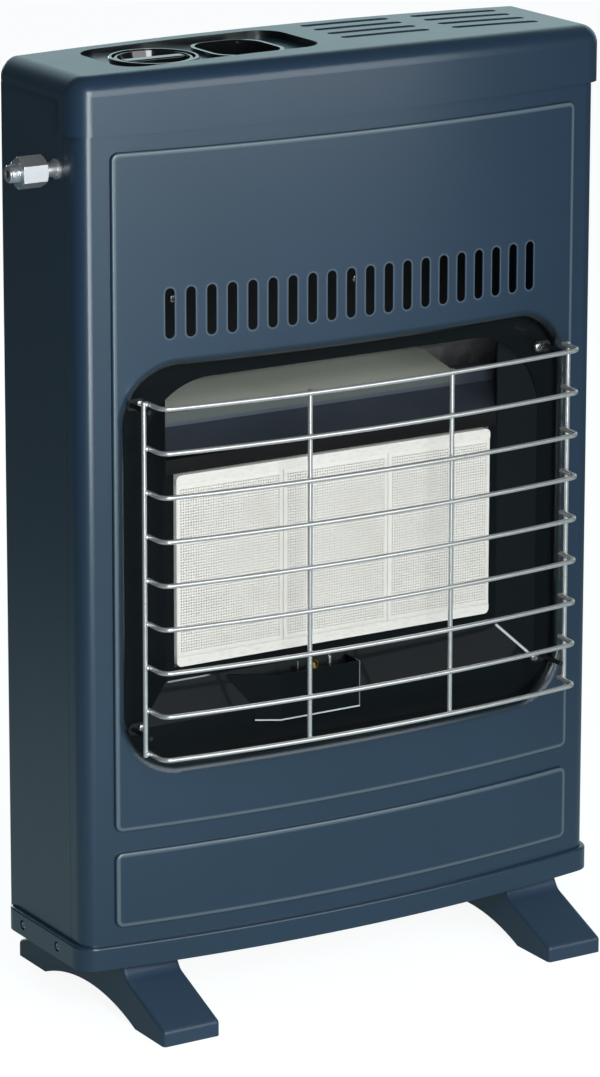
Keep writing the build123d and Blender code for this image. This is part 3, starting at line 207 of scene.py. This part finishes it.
def pressedEdgeHighlights(net):
    # painted highlight: paler along the rounded edge of each raised field, and round each slot,
    # whose row repeats at the pitch
    p = pressed
    x, y, z = net.split()
    u = x - midX
    lines = [net.band(outside(u, z - middle, p["half"], half, p["corner"]), *p["edge"])
             for middle, half in p["fields"]]
    middle, halfWide, halfLong = p["slot"]
    across = ((u * (1 / p["pitch"])).fraction() - 0.5) * p["pitch"]
    rim = net.band(outside(across, z - middle, halfWide, halfLong, halfWide), *p["rim"])
    end = p["pairs"] * p["pitch"]
    rim = rim * net.fall(u.size(), end, end + 0.0005)
    return (lines[0].most(lines[1]) * p["rubAndGlint"][0]).most(rim * p["rubAndGlint"][1])


crease = {"corner": (0.147, 0.252), "width": (0.0008, 0.0018), "start": (-0.0005, 0.0010),
          "end": (0.025, 0.028), "ledge": (0.0003, 0.0008), "ledgeStart": (0.001, 0.003),
          "ledgeEnd": (0.034, 0.040), "ledgeGlint": 0.5}


def creaseGlints(net):
    # painted highlight: the tray's right-hand crease is painted bright from its back corner down to the front, 45
    # degrees in the front view, and so, half as much, is the left end of the floor's top edge
    x, y, z = net.split()
    u = x - midX
    across, down = u - crease["corner"][0], crease["corner"][1] - z
    along, aside = (across + down) * 0.5, (across - down).size()
    line = net.fall(aside, *crease["width"]) * net.band(along, crease["start"], crease["end"])
    inwards = u + crease["corner"][0]
    ledge = net.fall(down.size(), *crease["ledge"])
    ledge = ledge * net.band(inwards, crease["ledgeStart"], crease["ledgeEnd"])
    return line.most(ledge * crease["ledgeGlint"])


hood = {"foot": (0.2149, 0.2153), "end": (0.0270, 0.0274), "front": (-0.052, -0.048), "endGlint": 0.3}


def hoodGlints(net):
    # painted highlight: the foot of the pilot's hood is painted bright, and the front of its right end a third as
    # much
    x, y, z = net.split()
    end = net.step(x, *hood["end"]) * net.fall(y, *hood["front"])
    return net.fall(z, *hood["foot"]).most(end * hood["endGlint"])


# finishes

def enamel(name, colour, gloss=0.34, shine=(0.45, 0.8, 0.2), masks=()):
    # the colour drifts a little over the sheet, with fine paler specks; a fine orange peel of about 2 mm
    # lies in the bump; shine is the specular level, then the coat's weight and roughness
    net = Net(name)
    drift = net.noise(6, detail=2)
    grain = net.noise(900, detail=2)
    base = net.blend(net.step(drift, 0.3, 0.7), shade(colour, 0.9), colour)
    base = net.blend(net.step(grain, 0.62, 0.75) * 0.10, base, shade(colour, 1.8))
    for mask, under in masks:
        base = net.blend(mask(net), base, under)
    rough = gloss + net.noise(40, detail=4) * 0.07
    skin = net.noise(420, detail=2) + grain * 0.25
    return net.finish(Base_Color=base, Roughness=rough, Specular_IOR_Level=shine[0],
                      Specular_Tint=(0.72, 0.94, 1.0, 1), Coat_Weight=shine[1], Coat_Roughness=shine[2],
                      Normal=net.bump(skin, depth=0.00006, strength=0.35))


def moulding(name, colour, gloss):
    # a pebbled mould texture in the bump, and slightly paler rubbed patches
    net = Net(name)
    rubAndGlint = net.step(net.noise(22, detail=4), 0.55, 0.8)
    base = net.blend(rubAndGlint * 0.25, colour, shade(colour, 1.6, lift=0.01))
    return net.finish(Base_Color=base, Roughness=gloss + rubAndGlint * 0.1,
                      Normal=net.bump(net.cells(1400), depth=0.00008, strength=0.3))


def glossyPlastic(name, colour, gloss):
    # polished black with a little dust, and faint wiping marks in the roughness
    net = Net(name)
    wipes = net.noise(60, detail=5, stretch=(1, 6, 1))
    dust = net.step(net.noise(700, detail=2), 0.66, 0.74)
    base = net.blend(dust * 0.15, colour, srgb(90, 94, 96))
    return net.finish(Base_Color=base, Roughness=gloss + wipes * 0.1, Coat_Weight=1.0,
                      Coat_Roughness=0.05, Normal=net.bump(wipes, depth=0.00002, strength=0.2))


def rolledSteel(name, colour, gloss, stretch, tint=None, metal=1.0, paintedShadeTop=None, darkerFront=None):
    # drawn lines along one axis; heat or handling tints it in soft clouds
    net = Net(name)
    lines = net.noise(90, detail=6, stretch=stretch, roughness=0.65)
    base = net.blend(lines * 0.35, colour, shade(colour, 0.72))
    if tint:
        base = net.blend(net.step(net.noise(9, detail=3), 0.35, 0.7) * 0.5, base, tint)
    x, y, z = net.split()
    if paintedShadeTop:                                 # painted shade: black below this height, over half a millimetre
        base = net.blend(net.fall(z, paintedShadeTop - 0.0005, paintedShadeTop), base, srgb(8, 9, 11))
    if darkerFront:                               # the lip in front of this depth is darker
        base = net.blend(net.fall(y, darkerFront - 0.0002, darkerFront), base, srgb(84, 92, 90))
    return net.finish(Base_Color=base, Metallic=metal, Roughness=gloss + lines * 0.15,
                      Normal=net.bump(lines, depth=0.00004, strength=0.25))


def zincSheet(name):
    # spangles about 9 mm across, each a slightly different grey
    net = Net(name)
    spangle = net.add("SeparateColor", None, {0: net.cells(110, "F1", "Color")})
    edge = net.step(net.cells(110, "DISTANCE_TO_EDGE"), 0.0, 0.06)
    base = net.blend(spangle, srgb(152, 156, 159), srgb(190, 193, 195))
    ripple = edge * 0.4 + net.noise(300, detail=3) * 0.5
    return net.finish(Base_Color=base, Metallic=0.6, Roughness=0.42 - spangle * 0.12,
                      Normal=net.bump(ripple, depth=0.00003, strength=0.4))


def nickelPlate(name, colour, gloss, metal=1.0):
    # bright plating with fine draw marks and a few dull spots
    net = Net(name)
    spots = net.step(net.noise(260, detail=3), 0.6, 0.72)
    base = net.blend(spots * 0.3, colour, srgb(150, 148, 142))
    return net.finish(Base_Color=base, Metallic=metal, Roughness=gloss + spots * 0.14,
                      Normal=net.bump(net.noise(500, detail=4), depth=0.00003, strength=0.2))


def firedCeramic(name, colour, stain):
    # chalky fired clay: mottled white, faint warm stains, a sandy grain
    net = Net(name)
    sand = net.noise(1600, detail=2)
    base = net.blend(net.step(net.noise(45, detail=5), 0.45, 0.75) * 0.5, colour, stain)
    base = net.blend(net.step(sand, 0.56, 0.7) * 0.25, base, srgb(190, 190, 184))
    return net.finish(Base_Color=base, Roughness=0.9, Normal=net.bump(sand, depth=0.00012, strength=0.5))


def turnedBrass(name):
    # fine turning lines and a dull yellow bloom
    net = Net(name)
    lines = net.noise(300, detail=4, stretch=(1, 1, 12))
    bloom = net.step(net.noise(70, detail=4), 0.45, 0.7)
    base = net.blend(bloom * 0.5, srgb(205, 168, 98), srgb(150, 116, 60))
    return net.finish(Base_Color=base, Metallic=1.0, Roughness=0.25 + bloom * 0.18,
                      Normal=net.bump(lines, depth=0.00003, strength=0.3))


def castMetal(name):
    # die-cast skin: a matt grain with flow marks
    net = Net(name)
    grain = net.noise(900, detail=3)
    flow = net.step(net.noise(30, detail=4), 0.4, 0.7)
    base = net.blend(flow * 0.4, srgb(172, 174, 176), srgb(140, 143, 147))
    return net.finish(Base_Color=base, Metallic=0.95, Roughness=0.48 + grain * 0.12,
                      Normal=net.bump(grain, depth=0.00008, strength=0.5))


def fibreStrip(name):
    # pressed white fibre: soft threads along the strip
    net = Net(name)
    threads = net.noise(600, detail=5, stretch=(0.25, 1, 1), roughness=0.7)
    base = net.blend(net.step(threads, 0.45, 0.7) * 0.6, srgb(232, 232, 226), srgb(206, 208, 204))
    return net.finish(Base_Color=base, Roughness=0.95, Normal=net.bump(threads, depth=0.0002, strength=0.6))


# the third colour is the painted highlight along the front's pressed edges; the next line's is the painted glint
# in the firebox
enamelBlue, enamelBlack, edgeHighlightColour = srgb(33, 53, 74), srgb(7, 10, 14), srgb(106, 120, 128)
glintColour = srgb(196, 204, 208)
blackShine = (0.12, 0.09, 0.06)
finishes = {                                    # one for each material slot
    "cabinet_enamel": enamel("cabinetEnamel", enamelBlue),
    "foot_plastic": moulding("footMoulding", srgb(44, 64, 84), 0.36),
    "zinc_sheet": zincSheet("zincSheet"),
    # painted shade: the firebox steel is black below 424 mm
    "firebox_steel": rolledSteel("fireboxSteel", srgb(84, 94, 106), 0.42, (1, 6, 30), srgb(58, 70, 84),
                                 metal=0.55, paintedShadeTop=0.4242),
    "shelf_steel": rolledSteel("shelfSteel", srgb(214, 222, 210), 0.5, (1, 30, 1), srgb(176, 188, 166),
                               metal=0.15, darkerFront=0.0042),
    "black_enamel": enamel("blackEnamel", enamelBlack, 0.45, blackShine),
    "control_plastic": glossyPlastic("controlPlastic", srgb(22, 24, 27), 0.08),
    "plated_wire": nickelPlate("nickelWire", srgb(216, 218, 218), 0.28, 0.75),
    "plaque_ceramic": firedCeramic("plaqueCeramic", srgb(232, 232, 226), srgb(224, 223, 214)),
    "screw_steel": nickelPlate("screwSteel", srgb(176, 176, 174), 0.26),
    "inlet_metal": nickelPlate("inletZinc", srgb(214, 218, 222), 0.3, 0.85),
    "gas_brass": turnedBrass("gasBrass"),
    "pipe_metal": rolledSteel("pipeTube", srgb(188, 190, 192), 0.3, (1, 1, 14)),
    "cast_aluminium": castMetal("tapCasting"),
}
special = {                                     # for single nodes, in place of their slot's finish
    # the front gets painted highlights on its pressed edges and painted shade on its window lip; the lid gets
    # painted shade on its pocket wall
    "front_panel": enamel("frontEnamel", enamelBlue,
                          masks=((pressedEdgeHighlights, edgeHighlightColour), (windowLipShade, enamelBlack))),
    "top_lid": enamel("lidEnamel", enamelBlue, masks=((pocketWallShade, enamelBlack),)),
    # painted glints: on the tray's crease and floor edge, and on the hood's foot and right end
    "firebox_tray": enamel("trayEnamel", enamelBlack, 0.45, blackShine, ((creaseGlints, glintColour),)),
    "pilot_hood": enamel("hoodEnamel", enamelBlack, 0.45, blackShine, ((hoodGlints, glintColour),)),
    "plaque_seals": fibreStrip("plaqueFibre"),
    "guard_lugs": nickelPlate("lugSteel", srgb(44, 48, 52), 0.4, 0.6),
    # painted shade: the shield seen through the lid's slots is made near black
    "upper_heat_shield": rolledSteel("paintedShadeShield", srgb(12, 16, 22), 0.6, (30, 1, 1), metal=0.2),
}


def paint(thing, material):
    thing.data.materials.clear()
    thing.data.materials.append(material)


for name, node in nodes.items():
    paint(node, special.get(name) or finishes[slotOf[name]])
print("finishes:", len(finishes) + len(special))


# pieces made here

def addPiece(name, points, faces, slot, body, replaced=(), sharp=35):
    # doubles are merged and the faces turned outwards; edges over the sharp angle stay crisp
    mesh = bpy.data.meshes.new(name)
    mesh.from_pydata(points.tolist(), [], faces)
    shell = bmesh.new()
    shell.from_mesh(mesh)
    bmesh.ops.remove_doubles(shell, verts=shell.verts, dist=1e-7)
    bmesh.ops.recalc_face_normals(shell, faces=shell.faces)
    shell.to_mesh(mesh)
    shell.free()
    mesh.update()
    mesh.shade_smooth()
    mesh.set_sharp_from_angle(angle=math.radians(sharp))
    piece = bpy.data.objects.new(name, mesh)
    bpy.context.scene.collection.objects.link(piece)
    paint(piece, finishes[slot])
    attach(piece, body)
    if replaced:
        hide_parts(*replaced)
    return piece


def gridFaces(rows, columns, wrap=False, start=0):
    # quads between the rows of a grid of points; wrap joins the last column to the first
    across = columns if wrap else columns - 1
    i, j = np.meshgrid(np.arange(rows - 1), np.arange(across), indexing="ij")
    k = (j + 1) % columns
    quads = np.stack([i * columns + j, i * columns + k, (i + 1) * columns + k, (i + 1) * columns + j], -1)
    return (quads.reshape(-1, 4) + start).tolist()


def fullTurn(count):                            # evenly spaced angles round a circle
    return np.arange(count) * 2 * math.pi / count


plaques = {"pitch": 0.00215, "holeRadius": 0.00066, "holeDepth": 0.0026, "border": 0.0030,
           "recess": 0.0005, "edge": 0.0008, "edgeSteps": 4}


def perforatedPlaque(name, node):
    # a slab whose front is a square net of cells; each cell is a square with an eight-sided hole, whose
    # wall goes straight back to a flat floor
    p = plaques
    low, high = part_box(node)
    border, face = p["border"], low[1] + p["recess"]
    columns = round((high[0] - low[0] - 2 * border) / p["pitch"])
    rows = round((high[2] - low[2] - 2 * border) / p["pitch"])
    xs = np.linspace(low[0] + border, high[0] - border, columns + 1)
    zs = np.linspace(low[2] + border, high[2] - border, rows + 1)
    gx, gz = np.meshgrid(xs, zs, indexing="ij")
    corners = np.stack([gx, np.full_like(gx, face), gz], -1).reshape(-1, 3)
    cx, cz = np.meshgrid((xs[1:] + xs[:-1]) / 2, (zs[1:] + zs[:-1]) / 2, indexing="ij")
    turn = (np.arange(8) + 0.5) * math.pi / 4
    ox = cx[..., None] + p["holeRadius"] * np.cos(turn)
    oz = cz[..., None] + p["holeRadius"] * np.sin(turn)
    rim = np.stack([ox, np.full_like(ox, face), oz], -1).reshape(-1, 3)
    deep = rim + np.array([0, p["holeDepth"], 0])
    i, j = np.meshgrid(np.arange(columns), np.arange(rows), indexing="ij")
    n = rows + 1
    square = [(i + 1) * n + j + 1, i * n + j + 1, i * n + j, (i + 1) * n + j]
    first = len(corners) + 8 * (i * rows + j)
    floor = first + len(rim)
    faces = []
    for side in range(4):                       # from the top right corner on: a triangle, then a quad
        a, c = square[side], square[(side + 1) % 4]
        k0, k1, k2 = 2 * side, 2 * side + 1, (2 * side + 2) % 8
        faces += np.stack([a, first + k0, first + k1], -1).reshape(-1, 3).tolist()
        faces += np.stack([a, first + k1, first + k2, c], -1).reshape(-1, 4).tolist()
    for k in range(8):                          # the hole's wall
        m = (k + 1) % 8
        faces += np.stack([first + k, floor + k, floor + m, first + m], -1).reshape(-1, 4).tolist()
    faces += np.stack([floor + 7 - k for k in range(8)], -1).reshape(-1, 8).tolist()

    # the border: the net's outline, raised, carried out to the rounded edge and back round the slab
    ring = np.array(list(range(n)) + [k * n + rows for k in range(1, columns + 1)]
                    + [columns * n + rows - k for k in range(1, n)]
                    + [(columns - k) * n for k in range(1, columns)])
    flat = corners[ring][:, [0, 2]]

    def grown(inset):                           # the outline carried out to this far inside the slab's sides
        out = flat.copy()
        for axis, lo, hi in ((0, low[0], high[0]), (1, low[2], high[2])):
            out[:, axis] = np.where(np.isclose(flat[:, axis], lo + border), lo + inset, out[:, axis])
            out[:, axis] = np.where(np.isclose(flat[:, axis], hi - border), hi - inset, out[:, axis])
        return out

    loops = [(flat, low[1])]
    for t in np.linspace(0, math.pi / 2, p["edgeSteps"]):
        loops.append((grown(p["edge"] * (1 - math.sin(t))), low[1] + p["edge"] * (1 - math.cos(t))))
    loops.append((grown(0), high[1]))
    around = [np.stack([loop[:, 0], np.full(len(loop), y), loop[:, 1]], -1) for loop, y in loops]
    points = np.concatenate([corners, rim, deep, *around])
    start, count = len(corners) + 2 * len(rim), len(ring)
    here = np.arange(count)
    after = (here + 1) % count
    faces += np.stack([ring, start + here, start + after, ring[after]], -1).tolist()
    faces += [quad[::-1] for quad in gridFaces(len(loops), count, True, start)]
    faces.append((start + (len(loops) - 1) * count + here).tolist())
    addPiece(name, points, faces, "plaque_ceramic", "cabinet", [node], 30)


for side in ("left", "middle", "right"):
    perforatedPlaque(side + "PlaqueFace", "ceramic_plaque_" + side)
print("plaques perforated")


# guard: weld beads where the wires cross the two outer uprights and the side bars

guard = {"wireRadius": 0.0018, "count": 9, "bead": (0.0024, 0.0022, 0.0021), "spread": (0.85, 1.1),
         "rings": 10, "around": 14}


def blobs(centres, radii, rings, around):
    # ellipsoids: longitude runs round, latitude from the lower to the upper pole, poles closed by fans
    lat = np.linspace(-math.pi / 2, math.pi / 2, rings + 2)[1:-1]
    a, b = np.meshgrid(lat, fullTurn(around), indexing="ij")
    ball = np.stack([np.cos(a) * np.cos(b), np.cos(a) * np.sin(b), np.sin(a)], -1).reshape(-1, 3)
    ball = np.concatenate([ball, [[0, 0, -1], [0, 0, 1]]])
    points = (centres[:, None, :] + ball[None] * radii[:, None, :]).reshape(-1, 3)
    one = gridFaces(rings, around, True)
    k = np.arange(around)
    after = (k + 1) % around
    last, pole = (rings - 1) * around, rings * around
    fans = np.stack([after, k, np.full(around, pole)], -1).tolist()
    fans += np.stack([last + k, last + after, np.full(around, pole + 1)], -1).tolist()
    faces = [[v + i * len(ball) for v in face] for i in range(len(centres)) for face in one + fans]
    return points, faces


def weldBeads():
    rng = np.random.default_rng(7)
    wireLow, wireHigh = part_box("guard_wires")
    barLow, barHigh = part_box("guard_side_bars")
    upLow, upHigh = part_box("guard_uprights")
    r = guard["wireRadius"]
    heights = np.linspace(wireLow[2] + r, wireHigh[2] - r, guard["count"])
    spots = []
    for side, upX, barX in ((-1, upLow[0] + r, barLow[0] + r), (1, upHigh[0] - r, barHigh[0] - r)):
        spots.append((upX, upLow[1]))                       # between a wire and the upright
        spots.append((barX - side * r, barLow[1] + r))      # between a wire's leg and the side bar
    centres = np.array([(x, y, z) for x, y in spots for z in heights])
    radii = np.array([guard["bead"]]) * rng.uniform(*guard["spread"], (len(centres), 1))
    points, faces = blobs(centres, radii, guard["rings"], guard["around"])
    addPiece("guardWelds", points, faces, "plated_wire", "cabinet")


weldBeads()
print("guard welded")


# screws with a cross recess, in place of the plain heads; but for the radius, the numbers are shares of the
# head's radius or height, and the point's are shares of the shank's length and radius

crossHead = {"radius": 0.0036, "rings": 22, "around": 64, "centre": 0.02, "drop": 0.55, "curve": 3.2,
             "rim": 0.28, "seat": 0.96, "pointStart": 0.8, "pointWidth": 0.15, "recess": 0.55,
             "slotWidth": 0.30, "slotReach": 0.62, "sideRamp": 0.05, "endRamp": 0.25}


def panHead(height, shank, length):
    # radius and height along the profile: a domed top, a short rim, the seat, then the shank and its point;
    # on the dome two crossed slots are pressed in, deepest at the middle
    c = crossHead
    radius, t = c["radius"], np.linspace(c["centre"], 1, c["rings"])
    profile = list(zip(radius * t, height * (1 - c["drop"] * t ** c["curve"])))
    profile += [(radius, height * c["rim"]), (radius * c["seat"], 0.0), (shank, 0.0),
                (shank, -length * c["pointStart"]), (shank * c["pointWidth"], -length)]
    rr, hh = np.array(profile).T
    rows, n = len(rr), c["around"]
    r, a = np.meshgrid(rr, fullTurn(n), indexing="ij")
    x, y = r * np.cos(a), r * np.sin(a)
    h = np.repeat(hh[:, None], n, 1)

    def slot(u, v):                             # 1 inside a bar of the cross, ramping to 0 at its sides
        side = np.clip((c["slotWidth"] / 2 - np.abs(u) / radius) / c["sideRamp"], 0, 1)
        return side * np.clip((c["slotReach"] - np.abs(v) / radius) / c["endRamp"], 0, 1)

    cross = np.maximum(slot(x, y), slot(y, x))
    h = np.where(np.arange(rows)[:, None] < c["rings"], h - cross * c["recess"] * height, h)
    points = np.stack([x, y, h], -1).reshape(-1, 3)
    points = np.concatenate([points, [[0, 0, height * (1 - c["recess"])], [0, 0, -length]]])
    faces = [quad[::-1] for quad in gridFaces(rows, n, True)]
    k = np.arange(n)
    after = (k + 1) % n
    last, tip = (rows - 1) * n, rows * n
    faces += np.stack([k, after, np.full(n, tip)], -1).tolist()
    faces += np.stack([last + after, last + k, np.full(n, tip + 1)], -1).tolist()
    return points, faces


def islands(node):
    # the separate solids of a node, each as its lowest and highest corner: what edges join is one solid
    mesh = nodes[node].data
    co = np.zeros(len(mesh.vertices) * 3)
    mesh.vertices.foreach_get("co", co)
    co = co.reshape(-1, 3)
    edges = np.zeros(len(mesh.edges) * 2, int)
    mesh.edges.foreach_get("vertices", edges)
    _, same = np.unique(np.round(co, 6), axis=0, return_inverse=True)   # loose triangles share no vertex
    same = same.ravel()
    mark = np.arange(same.max() + 1)
    a, b = same[edges.reshape(-1, 2)].T
    while True:                                 # the lowest mark spreads along the edges
        low = np.minimum(mark[a], mark[b])
        fresh = mark.copy()
        np.minimum.at(fresh, a, low)
        np.minimum.at(fresh, b, low)
        fresh = fresh[fresh]
        if (fresh == mark).all():
            break
        mark = fresh
    found = mark[same]
    return [(co[found == m].min(0), co[found == m].max(0)) for m in np.unique(found)]


# node, axis, the head's side along it, height of the head, radius of the shank; where the side is 0, the
# head is on the side away from the cabinet's middle
screwSets = {"guardScrewHeads": ("guard_screws", 1, -1, 0.0022, 0.0019),
             "shieldScrewHeads": ("shield_screws", 1, -1, 0.0022, 0.00175),
             "backScrewHeads": ("back_panel_screws", 1, 1, 0.0022, 0.00175),
             "lidScrewHeads": ("lid_screws", 1, 1, 0.0016, 0.00175),
             "footScrewHeads": ("foot_screws", 2, -1, 0.0022, 0.00175),
             "plinthScrewHeads": ("plinth_screws", 0, 0, 0.0018, 0.00175)}


def screws(name, node, axis, side, headHeight, shank):
    # every solid of the node gets one screw as long as itself; its cross is turned by chance, but the
    # plinth's stand straight
    points, faces = [], []
    rng = np.random.default_rng(len(name))
    for low, high in islands(node):
        origin = (low + high) / 2
        outward = side or (1 if origin[0] > midX else -1)
        origin[axis] = (high if outward > 0 else low)[axis] - outward * headHeight
        one, quads = panHead(headHeight, shank, (high - low)[axis] - headHeight)
        spin = Matrix.Rotation(rng.uniform(0, math.pi / 2) if side else 0.0, 3, "Z")
        aim = Vector([outward if i == axis else 0 for i in range(3)]).to_track_quat("Z", "Y").to_matrix()
        start = len(points) * len(one)
        points.append(one @ np.array(aim @ spin).T + origin)
        faces += [[v + start for v in quad] for quad in quads]
    addPiece(name, np.concatenate(points), faces, "screw_steel", "cabinet", [node])


for name, screwSet in screwSets.items():
    screws(name, *screwSet)
print("screws made")


# gas inlet: a threaded stub, a chamfered hexagon and the collar, turned about one axis

inlet = {"y": -0.0165, "z": 0.646, "stub": 0.00658, "stubLength": 0.008, "lead": 0.0012,
         "threadPitch": 0.00134, "threadDepth": 0.0007, "hexFlats": 0.021, "hexLength": 0.020,
         "chamferStart": 1.03, "chamferSlope": 1.9, "collar": 0.0055, "shoulder": 0.0075,
         "shoulderThick": 0.0015, "bore": 0.003, "around": 96, "lines": 260, "stepWidth": 1e-6}


def gasInlet():
    # radius over length and angle: a helical ridge on the stub, then the smaller of a hexagon's polar
    # radius and two chamfer cones, then the plain collar and its shoulder; the bore closes it inside
    d = inlet
    low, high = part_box("inlet_fitting")
    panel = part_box("left_side_panel")[0][0]
    stubEnd = low[0] + d["stubLength"]
    hexEnd = stubEnd + d["hexLength"]
    shoulder = panel - d["shoulderThick"]
    x = low[0] + (high[0] - low[0]) * np.linspace(0, 1, d["lines"])
    jumps = [[v - d["stepWidth"], v + d["stepWidth"]] for v in (stubEnd, hexEnd, shoulder, panel)]
    x = np.sort(np.concatenate([x] + jumps))
    turn = fullTurn(d["around"])
    xx, a = np.meshgrid(x, turn, indexing="ij")
    wave = 0.5 - 0.5 * np.cos(2 * math.pi * (xx - low[0]) / d["threadPitch"] - a)
    lead = np.clip((xx - low[0]) / d["lead"], 0, 1)
    thread = d["stub"] - d["threadDepth"] * (1 - wave * lead)
    sixth = np.mod(a + math.pi / 6, math.pi / 3) - math.pi / 6
    flats = d["hexFlats"] / 2 / np.cos(sixth)
    ends = np.minimum(xx - stubEnd, hexEnd - xx)
    cone = d["hexFlats"] / 2 * d["chamferStart"] + ends * d["chamferSlope"]
    r = np.where(xx < stubEnd, thread, np.where(xx < hexEnd, np.minimum(flats, cone), d["collar"]))
    r = np.where((xx > shoulder) & (xx < panel), d["shoulder"], r)
    skin = np.stack([xx, d["y"] + r * np.cos(a), d["z"] + r * np.sin(a)], -1)
    xx, a = np.meshgrid([high[0], low[0]], turn, indexing="ij")
    hole = np.stack([xx, d["y"] + d["bore"] * np.cos(a), d["z"] + d["bore"] * np.sin(a)], -1)
    points = np.concatenate([skin, hole])
    faces = gridFaces(len(points), d["around"], True)
    k = np.arange(d["around"])
    after = (k + 1) % d["around"]
    last = (len(points) - 1) * d["around"]
    faces += np.stack([last + k, last + after, after, k], -1).tolist()
    addPiece("threadedInlet", points.reshape(-1, 3), faces, "inlet_metal", "cabinet", ["inlet_fitting"], 32)


gasInlet()
print("gas inlet turned")


# springs: a coil of wire in place of each; the joint's travel is read, but nothing shortens them

springs = {"wire": 0.0006, "turns": 5, "steps": 36, "around": 12,
           "radius": {"knob": 0.0066, "igniter": 0.0050}}


def coilSpring(kind):
    # a wire along a helix: its middle rises evenly with the angle, and each ring of the wire stands square
    # to the helix
    node, joint = kind + "_spring", kind + "_press"
    low, high = (np.array(corner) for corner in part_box(node))
    wire, turns, coil, n = springs["wire"], springs["turns"], springs["radius"][kind], springs["around"]
    height = high[2] - low[2]
    t = np.linspace(0, turns * 2 * math.pi, turns * springs["steps"] + 1)[:, None]
    middle = (low + high) / 2
    middle[2] = low[2] + wire
    rise = (height - 2 * wire) / t[-1, 0]
    out = np.concatenate([np.cos(t), np.sin(t), 0 * t], 1)
    along = np.concatenate([-coil * np.sin(t), coil * np.cos(t), rise + 0 * t], 1)
    up = np.cross(along / np.linalg.norm(along, axis=1, keepdims=True), out)
    path = middle + coil * out + t * np.array([0, 0, rise])
    a = fullTurn(n)[None, :, None]
    rings = path[:, None] + wire * (out[:, None] * np.cos(a) + up[:, None] * np.sin(a))
    last = (len(path) - 1) * n
    faces = gridFaces(len(path), n, True) + [list(range(n))[::-1], list(range(last, last + n))]
    piece = addPiece(kind + "Coil", rings.reshape(-1, 3), faces, slotOf[node], "cabinet", [node])
    travel = next(one["range_m"][1] for one in frame["joints"] if one["name"] == joint)
    float(1 - travel / height)
    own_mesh(piece)


coilSpring("knob")
coilSpring("igniter")
print("springs coiled")


# studio: floor, lamps (power, place, size), world and camera

studio = {"floorSize": 14.0, "floorDrop": 0.0003, "floorTone": (0.15, 0.21, 0.23, 1), "floorGlow": 0.91,
          "mirror": 0.25, "mirrorFade": (0.4, 1.6), "cool": (0.70, 0.96, 1.0, 1), "aim": (0, 0, 0.36),
          "key": (12, (-0.42, -1.20, 0.66), (0.36, 1.2)), "fill": (36, (0.85, -2.7, 1.05), (2.4, 1.8)),
          "back": (9, (0.2, 2.2, 0.6), (0.9, 0.9))}
white, black = (1, 1, 1, 1), (0, 0, 0, 1)


def addFloor():
    # matt and dark to the lamps, so that it keeps the shadow; it glows near white to the camera, and a
    # share of that shows in glossy surfaces near the heater
    half, z = studio["floorSize"] / 2, -studio["floorDrop"]
    mesh = bpy.data.meshes.new("studioFloor")
    square = [(-half, -half, z), (half, -half, z), (half, half, z), (-half, half, z)]
    mesh.from_pydata(square, [], [(0, 1, 2, 3)])
    floor = bpy.data.objects.new("studioFloor", mesh)
    bpy.context.scene.collection.objects.link(floor)
    net = Net("studioFloor")
    camera, mirrored = net.rays()
    x, y, z = net.split()
    near = net.fall((x ** 2 + y ** 2) ** 0.5, *studio["mirrorFade"])
    plain = net.add("BsdfDiffuse", None, {"Color": studio["floorTone"]}, "BSDF")
    tone = net.blend(camera, studio["cool"], white)
    glow = net.add("Emission", None, {"Color": tone, "Strength": studio["floorGlow"]}, "Emission")
    nothing = net.add("Emission", None, {"Color": black, "Strength": 0.0}, "Emission")
    share = camera + mirrored * near * studio["mirror"]
    seen = net.add("MixShader", None, {0: share, 1: nothing, 2: glow}, "Shader")
    both = net.add("AddShader", None, {0: plain, 1: seen}, "Shader")
    net.add("OutputMaterial", None, {"Surface": both}, ())
    paint(floor, net.owner)


def addLamp(name, power, place, size):
    lamp = bpy.data.lights.new(name, "AREA")
    lamp.shape = "RECTANGLE"
    lamp.size, lamp.size_y = size
    lamp.energy = power
    thing = bpy.data.objects.new(name, lamp)
    bpy.context.scene.collection.objects.link(thing)
    thing.location = place
    thing.visible_camera = False
    thing.rotation_euler = (Vector(studio["aim"]) - Vector(place)).to_track_quat("-Z", "Y").to_euler()


room = {"sky": 0.29, "front": 0.04, "behind": 0.74, "depth": (-0.1, 0.5), "side": (-0.35, 0.15),
        "ceiling": (0.42, 0.75)}


def addWorld():
    # white to the camera and a soft grey to matt surfaces; glossy ones see a pale backdrop behind the
    # heater, with a dark ceiling and a dark room in front
    bpy.context.scene.world = bpy.data.worlds.new("studioWorld")
    net = Net("studioWorld", bpy.context.scene.world, "Generated")
    camera, mirrored = net.rays()
    x, y, z = net.split()
    behind = net.step(y, *room["depth"]) * net.step(x, *room["side"]) * net.fall(z, *room["ceiling"])
    shown = behind * (room["behind"] - room["front"]) + room["front"]
    level = mirrored * shown + camera + (1 - mirrored) * (1 - camera) * room["sky"]
    tone = net.blend(mirrored, white, studio["cool"])
    sky = net.add("Background", None, {"Color": tone, "Strength": level}, "Background")
    net.add("OutputWorld", None, {"Surface": sky}, ())


lens = {"place": (-1.8307, -3.0170, 1.3250), "turn": 0.5408, "tilt": 0.2286, "length": 161.4, "sensor": 36,
        "shift": (0.029, -0.2), "clip": (0.05, 40)}


def addCamera():
    # fitted to the photograph's edges; the lens is long, and the shift keeps the uprights near upright
    data = bpy.data.cameras.new("studioCamera")
    data.sensor_width, data.lens = lens["sensor"], lens["length"]
    data.shift_x, data.shift_y = lens["shift"]
    data.clip_start, data.clip_end = lens["clip"]
    camera = bpy.data.objects.new("studioCamera", data)
    bpy.context.scene.collection.objects.link(camera)
    camera.location = lens["place"]
    camera.rotation_euler = (math.pi / 2 - lens["tilt"], 0, -lens["turn"])
    bpy.context.scene.camera = camera


addFloor()
for lampName in ("key", "fill", "back"):
    addLamp(lampName + "Lamp", *studio[lampName])
addWorld()
addCamera()
bpy.context.scene.view_settings.view_transform = "Standard"
print("studio set")
